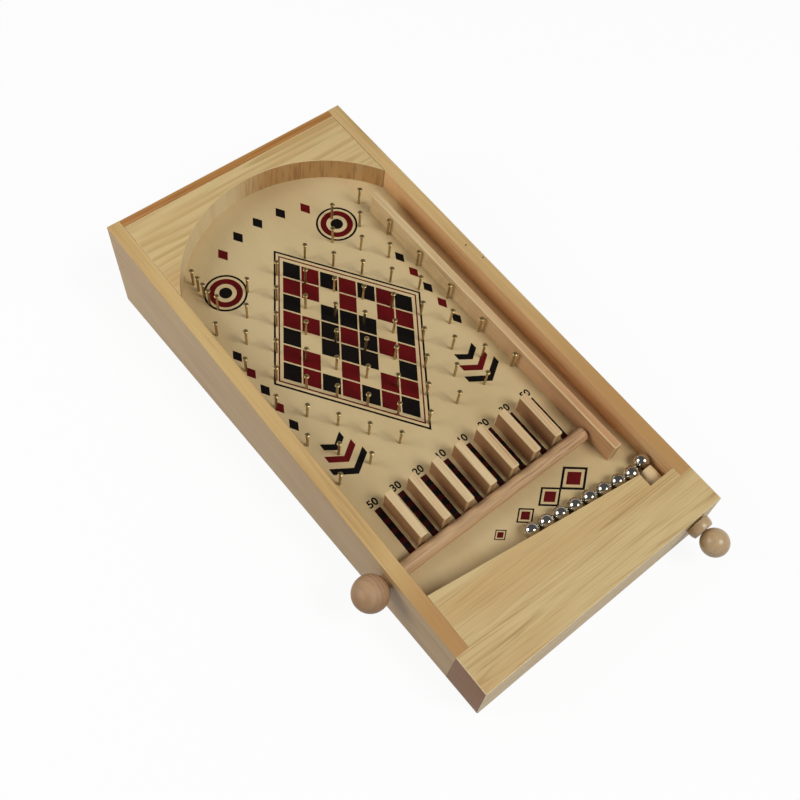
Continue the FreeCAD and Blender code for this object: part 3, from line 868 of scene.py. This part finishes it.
def settle(piece: Piece, body: str, slot: str, *nodes: str) -> Piece:
    """Say what a piece rides on and which nodes it stands for.

    Args:
        piece: The piece.
        body: The CAD body that carries it.
        slot: The record's material slot; not used.
        nodes: The CAD nodes that it replaces.

    Returns:
        The piece.
    """
    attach(piece, body)
    if nodes:
        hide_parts(*nodes)
    return piece


# --- sub-assemblies ----------------------------------------------------------------------

@dataclass
class Casing:
    """The wedge-shaped box: sides, end, front block, arched board and lane wall."""

    width: float = 250.0
    side: float = 12.5
    end_thick: float = 8.8
    arch_centre: Pair = (127.0, 348.2)
    arch_radius: float = 127.8
    arch_play: float = 0.1
    arch_gap: float = 0.4
    wall_left: float = 211.4
    wall_thick: float = 7.2
    wall_near: float = 82.0
    wall_far: float = 399.0
    wall_drift: float = 2.2
    nose: float = 3.2
    rail_heads: tuple[Pair, ...] = ((243.7, 305.8), (247.4, 287.0))
    side_ease: float = 0.5
    wall_ease: float = 0.9

    def build(self) -> list[Piece]:
        """Sand the sawn boards and build the two that have curves.

        Returns:
            The pieces.
        """
        woods = {
            "left_side": LEFT_PINE.material("pine, left side", Grain.UPHILL, (0, -112, 40),
                                            (0.4, 0.5), [(-170.0, -90.0)]),
            "right_side": RED_PINE.material("pine, right side", Grain.UPHILL, (260, 170, 52),
                                            (0.3, -0.4), [(-120.0, 60.0)]),
            "end_board": END_PINE.material("pine, end board", Grain.ACROSS, (40, 240, 46),
                                           (0.5, 0.8)),
            "front_block": BLOCK_PINE.material("pine, front block", Grain.ACROSS, (90, 214, 60),
                                               (1.2, 1.4)),
        }
        slots = {"end_board": "end_pine", "front_block": "top_pine"}
        # the end board's rounded edges take paler lacquer, rubbed lacquer with a painted highlight;
        # the front block's a paler one still, and the two sides keep their own wood
        worn = RUBBED_EDGE_PAINTED_HIGHLIGHT.material("worn edge of lacquered pine")
        edges = {"front_block": PALE_EDGE_PAINTED_HIGHLIGHT.material("pale edge of the front block"),
                 "left_side": woods["left_side"], "right_side": woods["right_side"]}
        boards = []
        for node, wood in woods.items():
            board = softened(node, f"sanded_{node}", self.side_ease, wood, edges.get(node, worn))
            boards.append(settle(board, "board", slots.get(node, "side_pine"), node))
        return [*boards, self.arch_board(worn), self.lane_wall(worn), self.rail_nails()]

    def arch_board(self, worn: Material) -> Piece:
        """The far board: an arc of radius r about the arch's centre, closed round the far edge.

        Args:
            worn: The finish of its edges, paler as rubbed lacquer and a painted highlight.

        Returns:
            The piece.
        """
        left, right = self.side + self.arch_play, self.width - self.side - self.arch_gap
        first, last = (math.degrees(math.acos((x - self.arch_centre[0]) / self.arch_radius))
                       for x in (right, left))
        curve = arc(self.arch_centre, self.arch_radius, first, last, count=121)
        far = RIM_LENGTH - self.end_thick
        outline, feet = (np.concatenate([curve, [[left, y], [right, y]]])
                         for y in (far, far - FIELD_DEPTH * math.tan(END_LEAN)))
        skin = prism(outline, -FIELD_DEPTH, 0.0, feet)
        wood = ARCH_PINE.material("pine, arched board", Grain.ACROSS, (-60, -300, 70), (1.0, -1.6))
        piece = skin.piece("arched_board", wood)
        # the loft's first faces are the arc's, one for each step along it
        sawn = SawnCurve(self.arch_centre, self.arch_radius)
        piece.data.materials.append(sawn.material("sawn curve of the arched board"))
        slots = np.zeros(len(piece.data.polygons), dtype=np.int32)
        slots[:len(curve) - 1] = 1
        piece.data.polygons.foreach_set("material_index", slots)
        eased(piece, self.side_ease, segments=2, worn=worn)
        return settle(piece, "board", "top_pine", "arch_board")

    def rail_nails(self) -> Piece:
        """Two small nail heads driven level with the top of the right rail.

        Returns:
            The piece.
        """
        profile = [(-3.0, 0.0), (-3.0, 0.5), (-0.4, 0.5), (-0.3, 0.85), (0.02, 0.85), (0.05, 0.6),
                   (0.05, 0.0)]
        heads = [lathe(profile, (x, y, 0.0), (0, 0, 1), count=20) for x, y in self.rail_heads]
        steel = SPRING_STEEL.material("dull steel, rail nails")
        return settle(Skin.joined(heads).piece("rail_nails", steel), "board", "spring_steel")

    def lane_wall(self, worn: Material) -> Piece:
        """The lane's wall: a long rectangle whose far end turns through two quarter arcs.

        Args:
            worn: The finish of its edges, paler as rubbed lacquer and a painted highlight.

        Returns:
            The piece.
        """
        left, right = self.wall_left, self.wall_left + self.wall_thick
        ends = self.wall_far - self.nose
        outline = np.concatenate([
            [[left, self.wall_near], [right, self.wall_near]],
            arc((right - self.wall_drift - self.nose, ends), self.nose, 0, 90, count=9),
            arc((left - self.wall_drift + self.nose, ends), self.nose, 90, 180, count=9),
        ])
        wood = LANE_WOOD.material("glossy slat wood, lane wall", Grain.UPHILL, (30, 260, 30),
                                  (0.2, 0.3), [(-120.0, 110.0)], warm_cheeks=True)
        piece = prism(outline, -FIELD_DEPTH, 0.0).piece("lane_strip", wood)
        eased(piece, self.wall_ease, worn=worn)
        return settle(piece, "board", "divider_wood", "lane_wall")


class Ink(Enum):
    """The printing inks."""

    BLACK = "black"
    RED = "red"
    MAROON = "maroon"


@dataclass
class Print:
    """A layer of ink on the playfield, one closed slab for each patch of colour.

    Attributes:
        level: Rim z of the panel's face.
        thick: Thickness of the ink in millimetres, drawn thicker than real so that it shows.
        inks: The patches laid so far.
    """

    level: float
    thick: float = INK_THICK
    inks: dict[Ink, list[Skin]] = field(default_factory=lambda: {ink: [] for ink in Ink})

    def patch(self, ink: Ink, outline: np.ndarray) -> None:
        """Lay a filled outline, carried from just inside the panel to the ink's top.

        Args:
            ink: The ink.
            outline: Points of shape (count, 2).
        """
        self.inks[ink].append(prism(outline, self.level - self.thick, self.level + self.thick))

    def band(self, ink: Ink, outer: np.ndarray, inner: np.ndarray) -> None:
        """Lay a band between two outlines: its section is carried round as a ring.

        Args:
            ink: The ink.
            outer: The outer outline, of shape (count, 2).
            inner: The inner outline, of as many points.
        """
        low, high = self.level - self.thick, self.level + self.thick
        section = [raised(outer, low), raised(outer, high), raised(inner, high), raised(inner, low)]
        self.inks[ink].append(loft(np.stack(section, axis=1), ring=True))

    def dry(self, name: str) -> list[Piece]:
        """Make one piece of each ink that was laid.

        Args:
            name: What the pieces are called before their ink's name.

        Returns:
            The pieces.
        """
        finishes = {Ink.BLACK: BLACK_INK, Ink.RED: RED_INK, Ink.MAROON: MAROON_INK}
        made = []
        for ink, skins in self.inks.items():
            if skins:
                material = finishes[ink].material(f"printing ink, {ink.value}, {name}")
                piece = Skin.joined(skins).piece(f"{name}_{ink.value}", material)
                made.append(settle(piece, "board", "field_panel"))
        return made


@dataclass
class Playfield:
    """The panel with its print: a harlequin, targets and pips, the slots' strips and numbers."""

    level: float = -FIELD_DEPTH
    lane_left: float = 214.5
    lane_near: float = 84.0
    lane_far: float = 395.0
    # the darker colour of the lane's floor between its walls is painted shade
    lane_colour: str = "#C49E70"
    strip_first: float = 33.0
    strip_pitch: float = 23.55
    strip_wide: float = 6.0
    strip_near: float = 118.0
    strip_far: float = 163.8
    strip_blocks: int = 9
    number_y: float = 166.8
    number_size: float = 9.2
    number_bold: float = 0.24
    scores: tuple[int, ...] = (50, 30, 20, 10, 10, 20, 30, 50)

    def build(self) -> list[Piece]:
        """Dress the panel and print on it.

        Returns:
            The printed pieces.
        """
        x, y = RIM.origin[:2]
        # painted shade on the lane's floor
        lane = BarePatch(self.lane_colour, x + self.lane_left, y + self.lane_near,
                         y + self.lane_far)
        dress("playfield", PANEL.material("cream lacquer on plywood", lane))
        return [*self.harlequin(), *self.trimmings(), *self.strips(), *self.numbers()]

    def harlequin(self) -> list[Piece]:
        """A large lozenge of seven by seven small ones, in square rounds about the middle one.

        The middle of cell (i, j) is centre + (i - j) * half_x / 7, (i + j) * half_y / 7.

        Returns:
            The pieces.
        """
        ink = Print(self.level)
        x, y, half_x, half_y, cells, inked = 112.0, 302.0, 70.0, 98.0, 7, 0.92
        for reach, width, colour in ((1.13, 0.030, Ink.BLACK), (1.06, 0.022, Ink.RED)):
            ink.band(colour, lozenge(x, y, half_x * reach, half_y * reach),
                     lozenge(x, y, half_x * (reach - width), half_y * (reach - width)))
        middle = cells // 2
        rounds = {0: (Ink.RED, Ink.RED), 1: (Ink.BLACK, Ink.BLACK), 2: (Ink.RED, None),
                  3: (Ink.BLACK, Ink.RED)}
        for i in range(-middle, middle + 1):
            for j in range(-middle, middle + 1):
                colour = rounds[max(abs(i), abs(j))][(i + j) % 2]
                if colour is None:
                    continue
                cell = lozenge(x + (i - j) * half_x / cells, y + (i + j) * half_y / cells,
                               half_x / cells * inked, half_y / cells * inked)
                ink.patch(colour, cell)
        return ink.dry("harlequin")

    def trimmings(self) -> list[Piece]:
        """Round targets under the arch, chevrons in the lower corners and rows of pips.

        Returns:
            The pieces.
        """
        ink = Print(self.level)
        # targets
        for x, y, radius in ((52.0, 400.0, 19.0), (176.0, 404.0, 19.0)):
            for outer, inner, colour in ((1.0, 0.9, Ink.BLACK), (0.78, 0.5, Ink.RED)):
                ink.band(colour, circle((x, y), radius * outer, 60),
                         circle((x, y), radius * inner, 60))
            ink.patch(Ink.BLACK, circle((x, y), radius * 0.3, 36))
        # chevrons
        for x in (40.0, 184.0):
            for step, colour in enumerate((Ink.BLACK, Ink.RED, Ink.BLACK)):
                y, half, rise, thick = 196.0 + 13 * step, 17.0 - 3.5 * step, 11.0 - 2 * step, 6.5
                ink.patch(colour, np.array([
                    [x - half, y + rise], [x, y], [x + half, y + rise],
                    [x + half, y + rise + thick], [x, y + thick], [x - half, y + rise + thick],
                ]))
        # pips up both edges, on an arc under the arch, and in a row by the ledge
        for x in (24.0, 200.0):
            for step in range(5):
                colour = Ink.RED if step % 2 else Ink.BLACK
                ink.patch(colour, lozenge(x, 262.0 + 20 * step, 4.2, 7.0))
        colours = (Ink.RED, Ink.BLACK, Ink.BLACK, Ink.BLACK, Ink.RED)
        for (x, y), colour in zip(arc((118.0, 350.0), 96.0, 62, 118, len(colours)), colours):
            ink.patch(colour, lozenge(x, y, 5.0, 7.5))
        for step, half in enumerate((13.0, 10.5, 8.0, 5.5)):
            x = 178.0 - 27.0 * step
            ink.band(Ink.BLACK, lozenge(x, 88.0, half * 1.25, half),
                     lozenge(x, 88.0, half, half * 0.8))
            ink.patch(Ink.RED, lozenge(x, 88.0, half * 0.7, half * 0.56))
        return ink.dry("trimmings")

    def strips(self) -> list[Piece]:
        """A ladder of maroon and black blocks up the middle of each slot.

        Returns:
            The pieces.
        """
        ink = Print(self.level)
        block = (self.strip_far - self.strip_near) / self.strip_blocks
        for slot in range(len(self.scores)):
            middle = self.strip_first + self.strip_pitch * slot
            for step in range(self.strip_blocks):
                near = self.strip_near + block * step
                ink.patch(Ink.BLACK if step % 2 else Ink.MAROON,
                          rectangle(middle - self.strip_wide / 2, middle + self.strip_wide / 2,
                                    near, near + block))
        return ink.dry("slot_strips")

    def numbers(self) -> list[Piece]:
        """The scores over the slots, as flat raised figures.

        Returns:
            The pieces.
        """
        material = BLACK_INK.material("printing ink, black, numbers")
        made = []
        for slot, score in enumerate(self.scores):
            words = bpy.data.curves.new("number", "FONT")
            words.body = str(score)
            words.size = self.number_size * MM
            words.align_x = "CENTER"
            words.extrude = INK_THICK * MM
            words.offset = self.number_bold * MM
            drawn = placed("number", words)
            bpy.context.view_layer.update()
            mesh = bpy.data.meshes.new_from_object(
                drawn.evaluated_get(bpy.context.evaluated_depsgraph_get()))
            bpy.data.objects.remove(drawn)
            middle = (self.strip_first + self.strip_pitch * slot, self.number_y, self.level)
            place = Matrix.Translation(Vector(RIM.row(np.array(middle))))
            mesh.transform(place @ Matrix.Rotation(RIM.slope, 4, "X"))
            mesh.materials.clear()
            mesh.materials.append(material)
            made.append(settle(placed(f"number_{slot + 1}", mesh), "board", "field_panel"))
        return made


@dataclass
class Nails:
    """Round-headed brass nails: a lattice over the field and a close row at the left."""

    level: float = -FIELD_DEPTH
    tall: float = 20.8
    sunk: float = 4.5
    shank: float = 1.1
    head: float = 2.25
    head_tall: float = 1.25
    rim: float = 0.55
    first_x: float = 21.8
    pitch_x: float = 30.83
    first_y: float = 197.8
    pitch_y: float = 21.35
    rows: int = 10
    columns: int = 7
    last_row: tuple[int, ...] = (5, 6)
    guide_x: float = 34.5
    guide_y: float = 398.6
    guide_pitch: float = 8.2
    guides: int = 4
    lean: float = 1.3
    seed: int = 7

    def build(self) -> list[Piece]:
        """Drive in the field's nails and those that guide a ball off the arch.

        Returns:
            The pieces.
        """
        guides = [(self.guide_x, self.guide_y + self.guide_pitch * k) for k in range(self.guides)]
        return [self.group("field_nails", self.lattice(), "field_pins"),
                self.group("guide_nails", guides, "guide_pins")]

    def nail(self) -> Skin:
        """One nail: a straight shank, a short neck, and a head whose top is a quarter ellipse.

        Returns:
            The nail with its foot at z = -sunk and the panel's face at z = 0.
        """
        neck = self.tall - self.head_tall
        dome = [(neck + self.rim + (self.head_tall - self.rim) * up, self.head * out)
                for out, up in arc((0, 0), 1, 0, 90, count=8)]
        profile = [(-self.sunk, 0.0), (-self.sunk, self.shank * 0.5),
                   (-self.sunk + 1.2, self.shank), (neck - 1.0, self.shank),
                   (neck - 0.25, self.shank * 1.25), (neck, self.head * 0.8),
                   (neck + 0.12, self.head * 0.96), *dome]
        return lathe(profile, (0, 0, 0), (0, 0, 1), count=20)

    def lattice(self) -> list[Pair]:
        """Places of the field nails: odd rows stand half a pitch to the right.

        Returns:
            Pairs of x and y.
        """
        spots = [(column + row % 2 / 2, row) for row in range(self.rows)
                 for column in range(self.columns - row % 2)]
        spots += [(column, self.rows) for column in self.last_row]
        return [(self.first_x + self.pitch_x * column, self.first_y + self.pitch_y * row)
                for column, row in spots]

    def group(self, name: str, places: Sequence[Pair], node: str) -> Piece:
        """Drive nails in at their places, each a little out of plumb.

        Args:
            name: The piece's name.
            places: Pairs of x and y.
            node: The CAD node that they replace.

        Returns:
            The piece.
        """
        chance = np.random.default_rng(self.seed)
        one = self.nail()
        skins = []
        for x, y in places:
            tip = np.radians(self.lean) * chance.normal(0, 0.5, 2).clip(-1, 1)
            moved = one.points.copy()
            moved[:, 0] += x + moved[:, 2] * tip[0]
            moved[:, 1] += y + moved[:, 2] * tip[1]
            moved[:, 2] += self.level
            skins.append(Skin(moved, one.faces))
        piece = Skin.joined(skins).piece(name, BRASS.material(f"drawn brass, {name}"))
        return settle(piece, "board", "brass_nail", node)


@dataclass
class Slats:
    """The seven slot dividers, with eased top edges."""

    first: float = 42.1
    pitch: float = 23.73
    thick: float = 7.4
    near: float = 119.2
    long: float = 45.3
    top: float = -2.0
    ease: float = 1.2
    count: int = 7

    def build(self) -> list[Piece]:
        """Saw, ease and dress every divider.

        Returns:
            The pieces.
        """
        made = []
        # the dividers' rounded edges take paler lacquer: rubbed lacquer and a painted highlight
        worn = RUBBED_EDGE_PAINTED_HIGHLIGHT.material("worn edge of a divider")
        for number in range(self.count):
            middle = self.first + self.pitch * number
            outline = rectangle(middle - self.thick / 2, middle + self.thick / 2,
                                self.near, self.near + self.long)
            pith = (37.0 * number, -60.0 - 9 * number, 24.0 + 5 * (number % 3))
            wood = SLAT.material(f"slat wood, divider {number + 1}", Grain.UPHILL, pith, (1.0, 1.5))
            piece = prism(outline, -FIELD_DEPTH, self.top).piece(f"slot_divider_{number + 1}", wood)
            made.append(settle(eased(piece, self.ease, worn=worn), "board", "divider_wood",
                               f"divider_{number + 1}"))
        return made


def ball_profile(radius: float, count: int) -> np.ndarray:
    """Half a circle from pole to pole, as pairs of radius * sin a along and radius * cos a out.

    Args:
        radius: The ball's radius.
        count: The number of points, both poles included.

    Returns:
        An array of shape (count, 2).
    """
    profile = arc((0, 0), radius, -90, 90, count)[:, ::-1]
    profile[[0, -1], 1] = 0.0
    return profile


def turned_ball(name: str, centre: Sequence[float], axis: Sequence[float], radius: float,
                material: Material) -> Piece:
    """A wooden ball turned on a lathe.

    Args:
        name: The piece's name.
        centre: The ball's centre.
        axis: The lathe's axis.
        radius: The ball's radius.
        material: Its finish.

    Returns:
        The piece.
    """
    return lathe(ball_profile(radius, count=49), centre, axis, count=72).piece(name, material)


@dataclass
class ReleaseBar:
    """The dowel that closes the slots, with its turned ball outside the left side."""

    y: float = 111.4
    z: float = -17.0
    radius: float = 6.0
    round_end: float = 1.6
    knob_radius: float = 15.0
    knob_x: float = -15.4

    def build(self) -> list[Piece]:
        """Turn the dowel and the ball.

        Returns:
            The pieces.
        """
        low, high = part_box("release_bar")
        start, end = ((x / MM) - RIM.origin[0] for x in (low.x, high.x))
        ease = arc((end - self.round_end, self.radius - self.round_end), self.round_end, 90, 0,
                   count=7)
        profile = [(start, 0.0), (start, self.radius), *ease, (end, 0.0)]
        wood = DOWEL.material("dowel wood, release bar", Grain.ACROSS, (0, 96, 14), (0.6, 0.4))
        bar = lathe(profile, (0, self.y, self.z), (1, 0, 0), count=64).piece("release_dowel", wood)
        settle(bar, "release", "divider_wood", "release_bar")
        wood = BALL_BEECH.material("beech, release ball", Grain.UPHILL, (5, 12, 22), (12, 8))
        knob = turned_ball("release_ball", (self.knob_x, self.y, self.z), (1, 0, 0),
                           self.knob_radius, wood)
        settle(knob, "release", "beech_knob", "release_knob")
        return [bar, knob]


@dataclass
class Plunger:
    """The sprung plunger: rod, striker, bead, ball and spring on one axis up the slope."""

    x: float = 227.5
    z: float = -17.0
    rod_radius: float = 3.0
    striker_radius: float = 6.0
    striker_tip: float = 56.8
    striker_long: float = 21.0
    bead_back: float = 1.7
    bead_thick: float = 8.4
    bead_belly: float = 0.35
    bead_radius: float = 10.4
    bead_ease: float = 0.7
    knob_radius: float = 11.9
    socket: float = 10.0
    spring_end: float = 7.0
    spring_radius: float = 4.9
    spring_wire: float = 0.45
    spring_turns: int = 7
    spring_steps: int = 30
    wire_round: int = 10
    spring_flat: float = 0.8
    spring_play: float = 0.2
    stroke: float = 22.0

    def build(self) -> list[Piece]:
        """Turn the wooden parts and wind the spring.

        Returns:
            The pieces.
        """
        return [self.striker(), self.rod(), self.bead(), self.knob(), self.spring()]

    def turned(self, name: str, profile: Sequence[Pair],
               material: Material, node: str, slot: str) -> Piece:
        """Turn a profile round the plunger's axis.

        Args:
            name: The piece's name.
            profile: Pairs of rim y and radius.
            material: The finish.
            node: The CAD node that it replaces.
            slot: The record's slot.

        Returns:
            The piece.
        """
        piece = lathe(profile, (self.x, 0, self.z), (0, 1, 0), count=56).piece(name, material)
        return settle(piece, "plunger", slot, node)

    def striker(self) -> Piece:
        """The short dowel that strikes the ball, its edge eased.

        Returns:
            The piece.
        """
        start, tip, r = self.striker_tip - self.striker_long, self.striker_tip, self.striker_radius
        profile = [(start, 0.0), (start, r - 0.5), (start + 0.5, r), (tip - 0.7, r),
                   (tip - 0.2, r - 0.2), (tip, r - 0.7), (tip, 0.0)]
        # paler wood on the striker: painted light
        wood = STRIKER_PINE_PAINTED_LIGHT.material("pine dowel, striker", Grain.UPHILL, (0, 250, 20), (2, 2))
        return self.turned("striker_dowel", profile, wood, "plunger_striker", "divider_wood")

    def rod(self) -> Piece:
        """The rod through the block, from the ball's socket to the striker's.

        Returns:
            The piece.
        """
        far = self.striker_tip - self.striker_long + self.socket
        near = self.knob_middle() + self.knob_radius - self.socket
        profile = [(near, 0.0), (near, self.rod_radius), (far, self.rod_radius), (far, 0.0)]
        steel = SPRING_STEEL.material("drawn steel, plunger rod")
        return self.turned("steel_rod", profile, steel, "plunger_rod", "spring_steel")

    def knob_middle(self) -> float:
        """Find the ball's centre from its CAD node's box.

        Returns:
            Its rim y.
        """
        low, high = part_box("plunger_knob")
        y = (low.y + high.y) / 2 / MM - RIM.origin[1]
        return (y + self.z * math.sin(RIM.slope)) / math.cos(RIM.slope)

    def bead(self) -> Piece:
        """The flattened bead: a ball of radius r cut by two planes, so out = sqrt(r^2 - along^2).

        Returns:
            The piece.
        """
        middle = -self.bead_back - self.bead_belly * self.bead_thick
        along = np.linspace(-self.bead_back - self.bead_thick, -self.bead_back, 29)
        out = np.sqrt(self.bead_radius ** 2 - (along - middle) ** 2)
        profile = [(along[0], 0.0), *zip(along, out), (along[-1], 0.0)]
        wood = BEECH.material("beech, bead", Grain.UPHILL, (20, 244, 26), (6, 9))
        bead = self.turned("plunger_bead", profile, wood, "plunger_collar", "beech_knob")
        return eased(bead, self.bead_ease)

    def knob(self) -> Piece:
        """The turned ball that is pulled.

        Returns:
            The piece.
        """
        wood = BEECH.material("beech, plunger ball", Grain.UPHILL, (35, 246, 30), (9, 14))
        ball = turned_ball("plunger_ball", (self.x, self.knob_middle(), self.z), (0, 1, 0),
                           self.knob_radius, wood)
        return settle(ball, "plunger", "beech_knob", "plunger_knob")

    def spring(self) -> Piece:
        """A wire carried along a helix: (r cos a, rise * a, r sin a), with closed end turns.

        Returns:
            The piece, wound to its length at rest.
        """
        near = self.spring_end + self.spring_play
        far = self.striker_tip - self.striker_long - self.spring_play
        wound = np.linspace(0, 1, self.spring_turns * self.spring_steps + 1) * self.spring_turns
        angle = wound * TAU
        # the first and the last turn lie flat against their seats
        open_turns = self.spring_turns - 2 * self.spring_flat
        rise = np.clip((wound - self.spring_flat) / open_turns, 0, 1)
        flat = self.spring_wire * 2 * np.clip(wound / self.spring_flat, 0, 1)
        # the flat turns and the wire's own thickness take up six times its radius
        length = far - near - 6 * self.spring_wire
        y = near + self.spring_wire + flat + length * rise
        path = np.stack([self.x + self.spring_radius * np.cos(angle), y,
                         self.z + self.spring_radius * np.sin(angle)], axis=1)
        out = np.stack([np.cos(angle), np.zeros_like(angle), np.sin(angle)], axis=1)
        turn = np.arange(self.wire_round) / self.wire_round * TAU
        loops = (path[:, None] + self.spring_wire * (np.cos(turn)[None, :, None] * out[:, None]
                 + np.sin(turn)[None, :, None] * np.array([0.0, 1.0, 0.0])))
        piece = loft(loops).piece("plunger_coil", SPRING_STEEL.material("spring wire"))
        settle(piece, "board", "spring_steel", "plunger_spring")
        seat = RIM.row(np.array([self.x, self.spring_end, self.z]))
        full = far + self.spring_play - self.spring_end
        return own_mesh(piece, "plunger_pull", axis=Grain.UPHILL.axis(), anchor=tuple(seat),
                         keep=(full - self.stroke) / full)


@dataclass
class Balls:
    """Nine bright steel balls: one in the lane, eight on the ledge."""

    count: int = 9
    rings: int = 41
    round: int = 64

    def build(self) -> list[Piece]:
        """Grind each ball in the middle of its CAD node.

        Returns:
            The pieces.
        """
        made = []
        for number in range(1, self.count + 1):
            low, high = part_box(f"ball_{number}")
            middle = (np.array(low) + np.array(high)) / 2
            radius = (high.x - low.x) / 2 / MM
            skin = lathe(ball_profile(radius, self.rings), (0, 0, 0), (0, 0, 1), self.round)
            steel = CHROME.material(f"chromed steel, ball {number}")
            piece = skin.piece(f"steel_ball_{number}", steel)
            shift = middle - RIM.row(np.zeros(3))
            piece.data.transform(Matrix.Translation(Vector(shift)))
            body = "launch_ball" if number == 1 else "ball_row"
            made.append(settle(piece, body, "ball_steel", f"ball_{number}"))
        return made


def in_sight(add: Adder) -> Node:
    """A share that is 1 for what is seen and 0 for what only gives light.

    Args:
        add: Adds a node to the tree.

    Returns:
        The larger of the marks of a ray from the camera, off a gloss and through glass.
    """
    path = add("LightPath").outputs
    seen = add("Math", LARGER, path["Is Camera Ray"], path["Is Glossy Ray"])
    return add("Math", LARGER, seen, path["Is Transmission Ray"])


@dataclass
class Studio:
    """A pale floor, two soft lamps, a surround that is brightest low down, and the camera."""

    camera_place: Place = (-193.19, -39.26, 725.43)
    aim: Place = (105.59, 225.78, -16.63)
    roll: float = 2.706
    lens: float = 45.89
    overhead: float = 0.22
    gloss_overhead: float = 0.1
    horizon: float = 0.4
    lamps: tuple[tuple[str, Place, float, float], ...] = (
        ("near_lamp", (0.6, -1.5, 2.05), 1.0, 32.0),
        ("left_lamp", (-1.05, 0.7, 0.9), 0.75, 9.0))
    lamp_aim: Place = (0.0, 0.0, 0.05)
    floor_half: float = 6.0
    floor_grey: str = "#8C8C8C"
    floor_glow: float = 0.92

    def build(self) -> list[Piece]:
        """Set up floor, lamps, surround and camera.

        Returns:
            What was set up.
        """
        self.world()
        return [self.floor(), *(self.lamp(*lamp) for lamp in self.lamps), self.camera()]

    def floor(self) -> Piece:
        """A wide plane that the camera and bright metal see as white, but for the shadow.

        Returns:
            The floor.
        """
        mesh = bpy.data.meshes.new("floor")
        half = self.floor_half
        mesh.from_pydata([(-half, -half, 0), (half, -half, 0), (half, half, 0), (-half, half, 0)],
                         [], [(0, 1, 2, 3)])
        material, add = new_material("pale paper floor")
        shown = in_sight(add)
        paper = add("Mix", BLEND, shown, linear(self.floor_grey), linear("#FFFFFF"))
        white = add("Emission", Color=linear("#FFFFFF"), Strength=1.0)
        share = add("Math", TIMES, shown, self.floor_glow)
        surface = add("MixShader", None, share, add("BsdfDiffuse", Color=paper), white)
        add("OutputMaterial", Surface=surface)
        mesh.materials.append(material)
        floor = placed("floor", mesh)
        return floor

    def lamp(self, name: str, place: Place, size: float, watts: float) -> Piece:
        """A square soft lamp that looks at the box.

        Args:
            name: The lamp's name.
            place: Where it stands, in metres.
            size: Its side in metres.
            watts: Its power.

        Returns:
            The lamp.
        """
        light = bpy.data.lights.new(name, "AREA")
        light.shape = "SQUARE"
        light.size = size
        light.energy = watts
        lamp = placed(name, light)
        lamp.location = place
        look = Vector(self.lamp_aim) - Vector(place)
        lamp.rotation_euler = look.to_track_quat("-Z", "Y").to_euler()
        return lamp

    def world(self) -> None:
        """A surround that is palest at the horizon, where the camera and bright metal see white."""
        world = bpy.data.worlds.new("surround")
        world.use_nodes = True
        world.node_tree.nodes.clear()
        add = partial(add_node, world.node_tree)
        shown = in_sight(add)
        low = add("MapRange", None, shown, 0.0, 1.0, self.horizon, 1.0)
        top = add("MapRange", None, shown, 0.0, 1.0, self.overhead, self.gloss_overhead)
        height = add("SeparateXYZ", Vector=add("TexCoord").outputs["Generated"]).outputs["Z"]
        level = add("MapRange", SOFT, height, 0.1, 0.5, low, top)
        sky = add("Background", Color=linear("#FFFFFF"), Strength=level)
        add("OutputWorld", Surface=sky)
        bpy.context.scene.world = world

    def camera(self) -> Piece:
        """A camera at its place, turned to the aim and then rolled about its line of sight.

        Returns:
            The camera.
        """
        data = bpy.data.cameras.new("camera")
        data.lens = self.lens
        data.sensor_width = 36.0
        camera = placed("camera", data)
        place, aim = (Vector(RIM.row(np.array(point))) for point in (self.camera_place, self.aim))
        look = (aim - place).normalized()
        level = look.cross(Vector((0, 0, 1))).normalized()
        turned = Matrix.Rotation(math.radians(-self.roll), 3, look) @ level
        up = turned.cross(look)
        camera.matrix_world = Matrix((turned, up, -look)).transposed().to_4x4()
        camera.location = place
        bpy.context.scene.camera = camera
        return camera


def main() -> None:
    logging.basicConfig(level=logging.INFO, format="%(name)s: %(message)s")
    bpy.context.scene.view_settings.view_transform = "Standard"
    parts = (Studio(), Casing(), Playfield(), Nails(), Slats(), ReleaseBar(), Plunger(), Balls())
    for part in parts:
        log.info("%s: %s", type(part).__name__, ", ".join(piece.name for piece in part.build()))


if __name__ == "__main__":
    main()
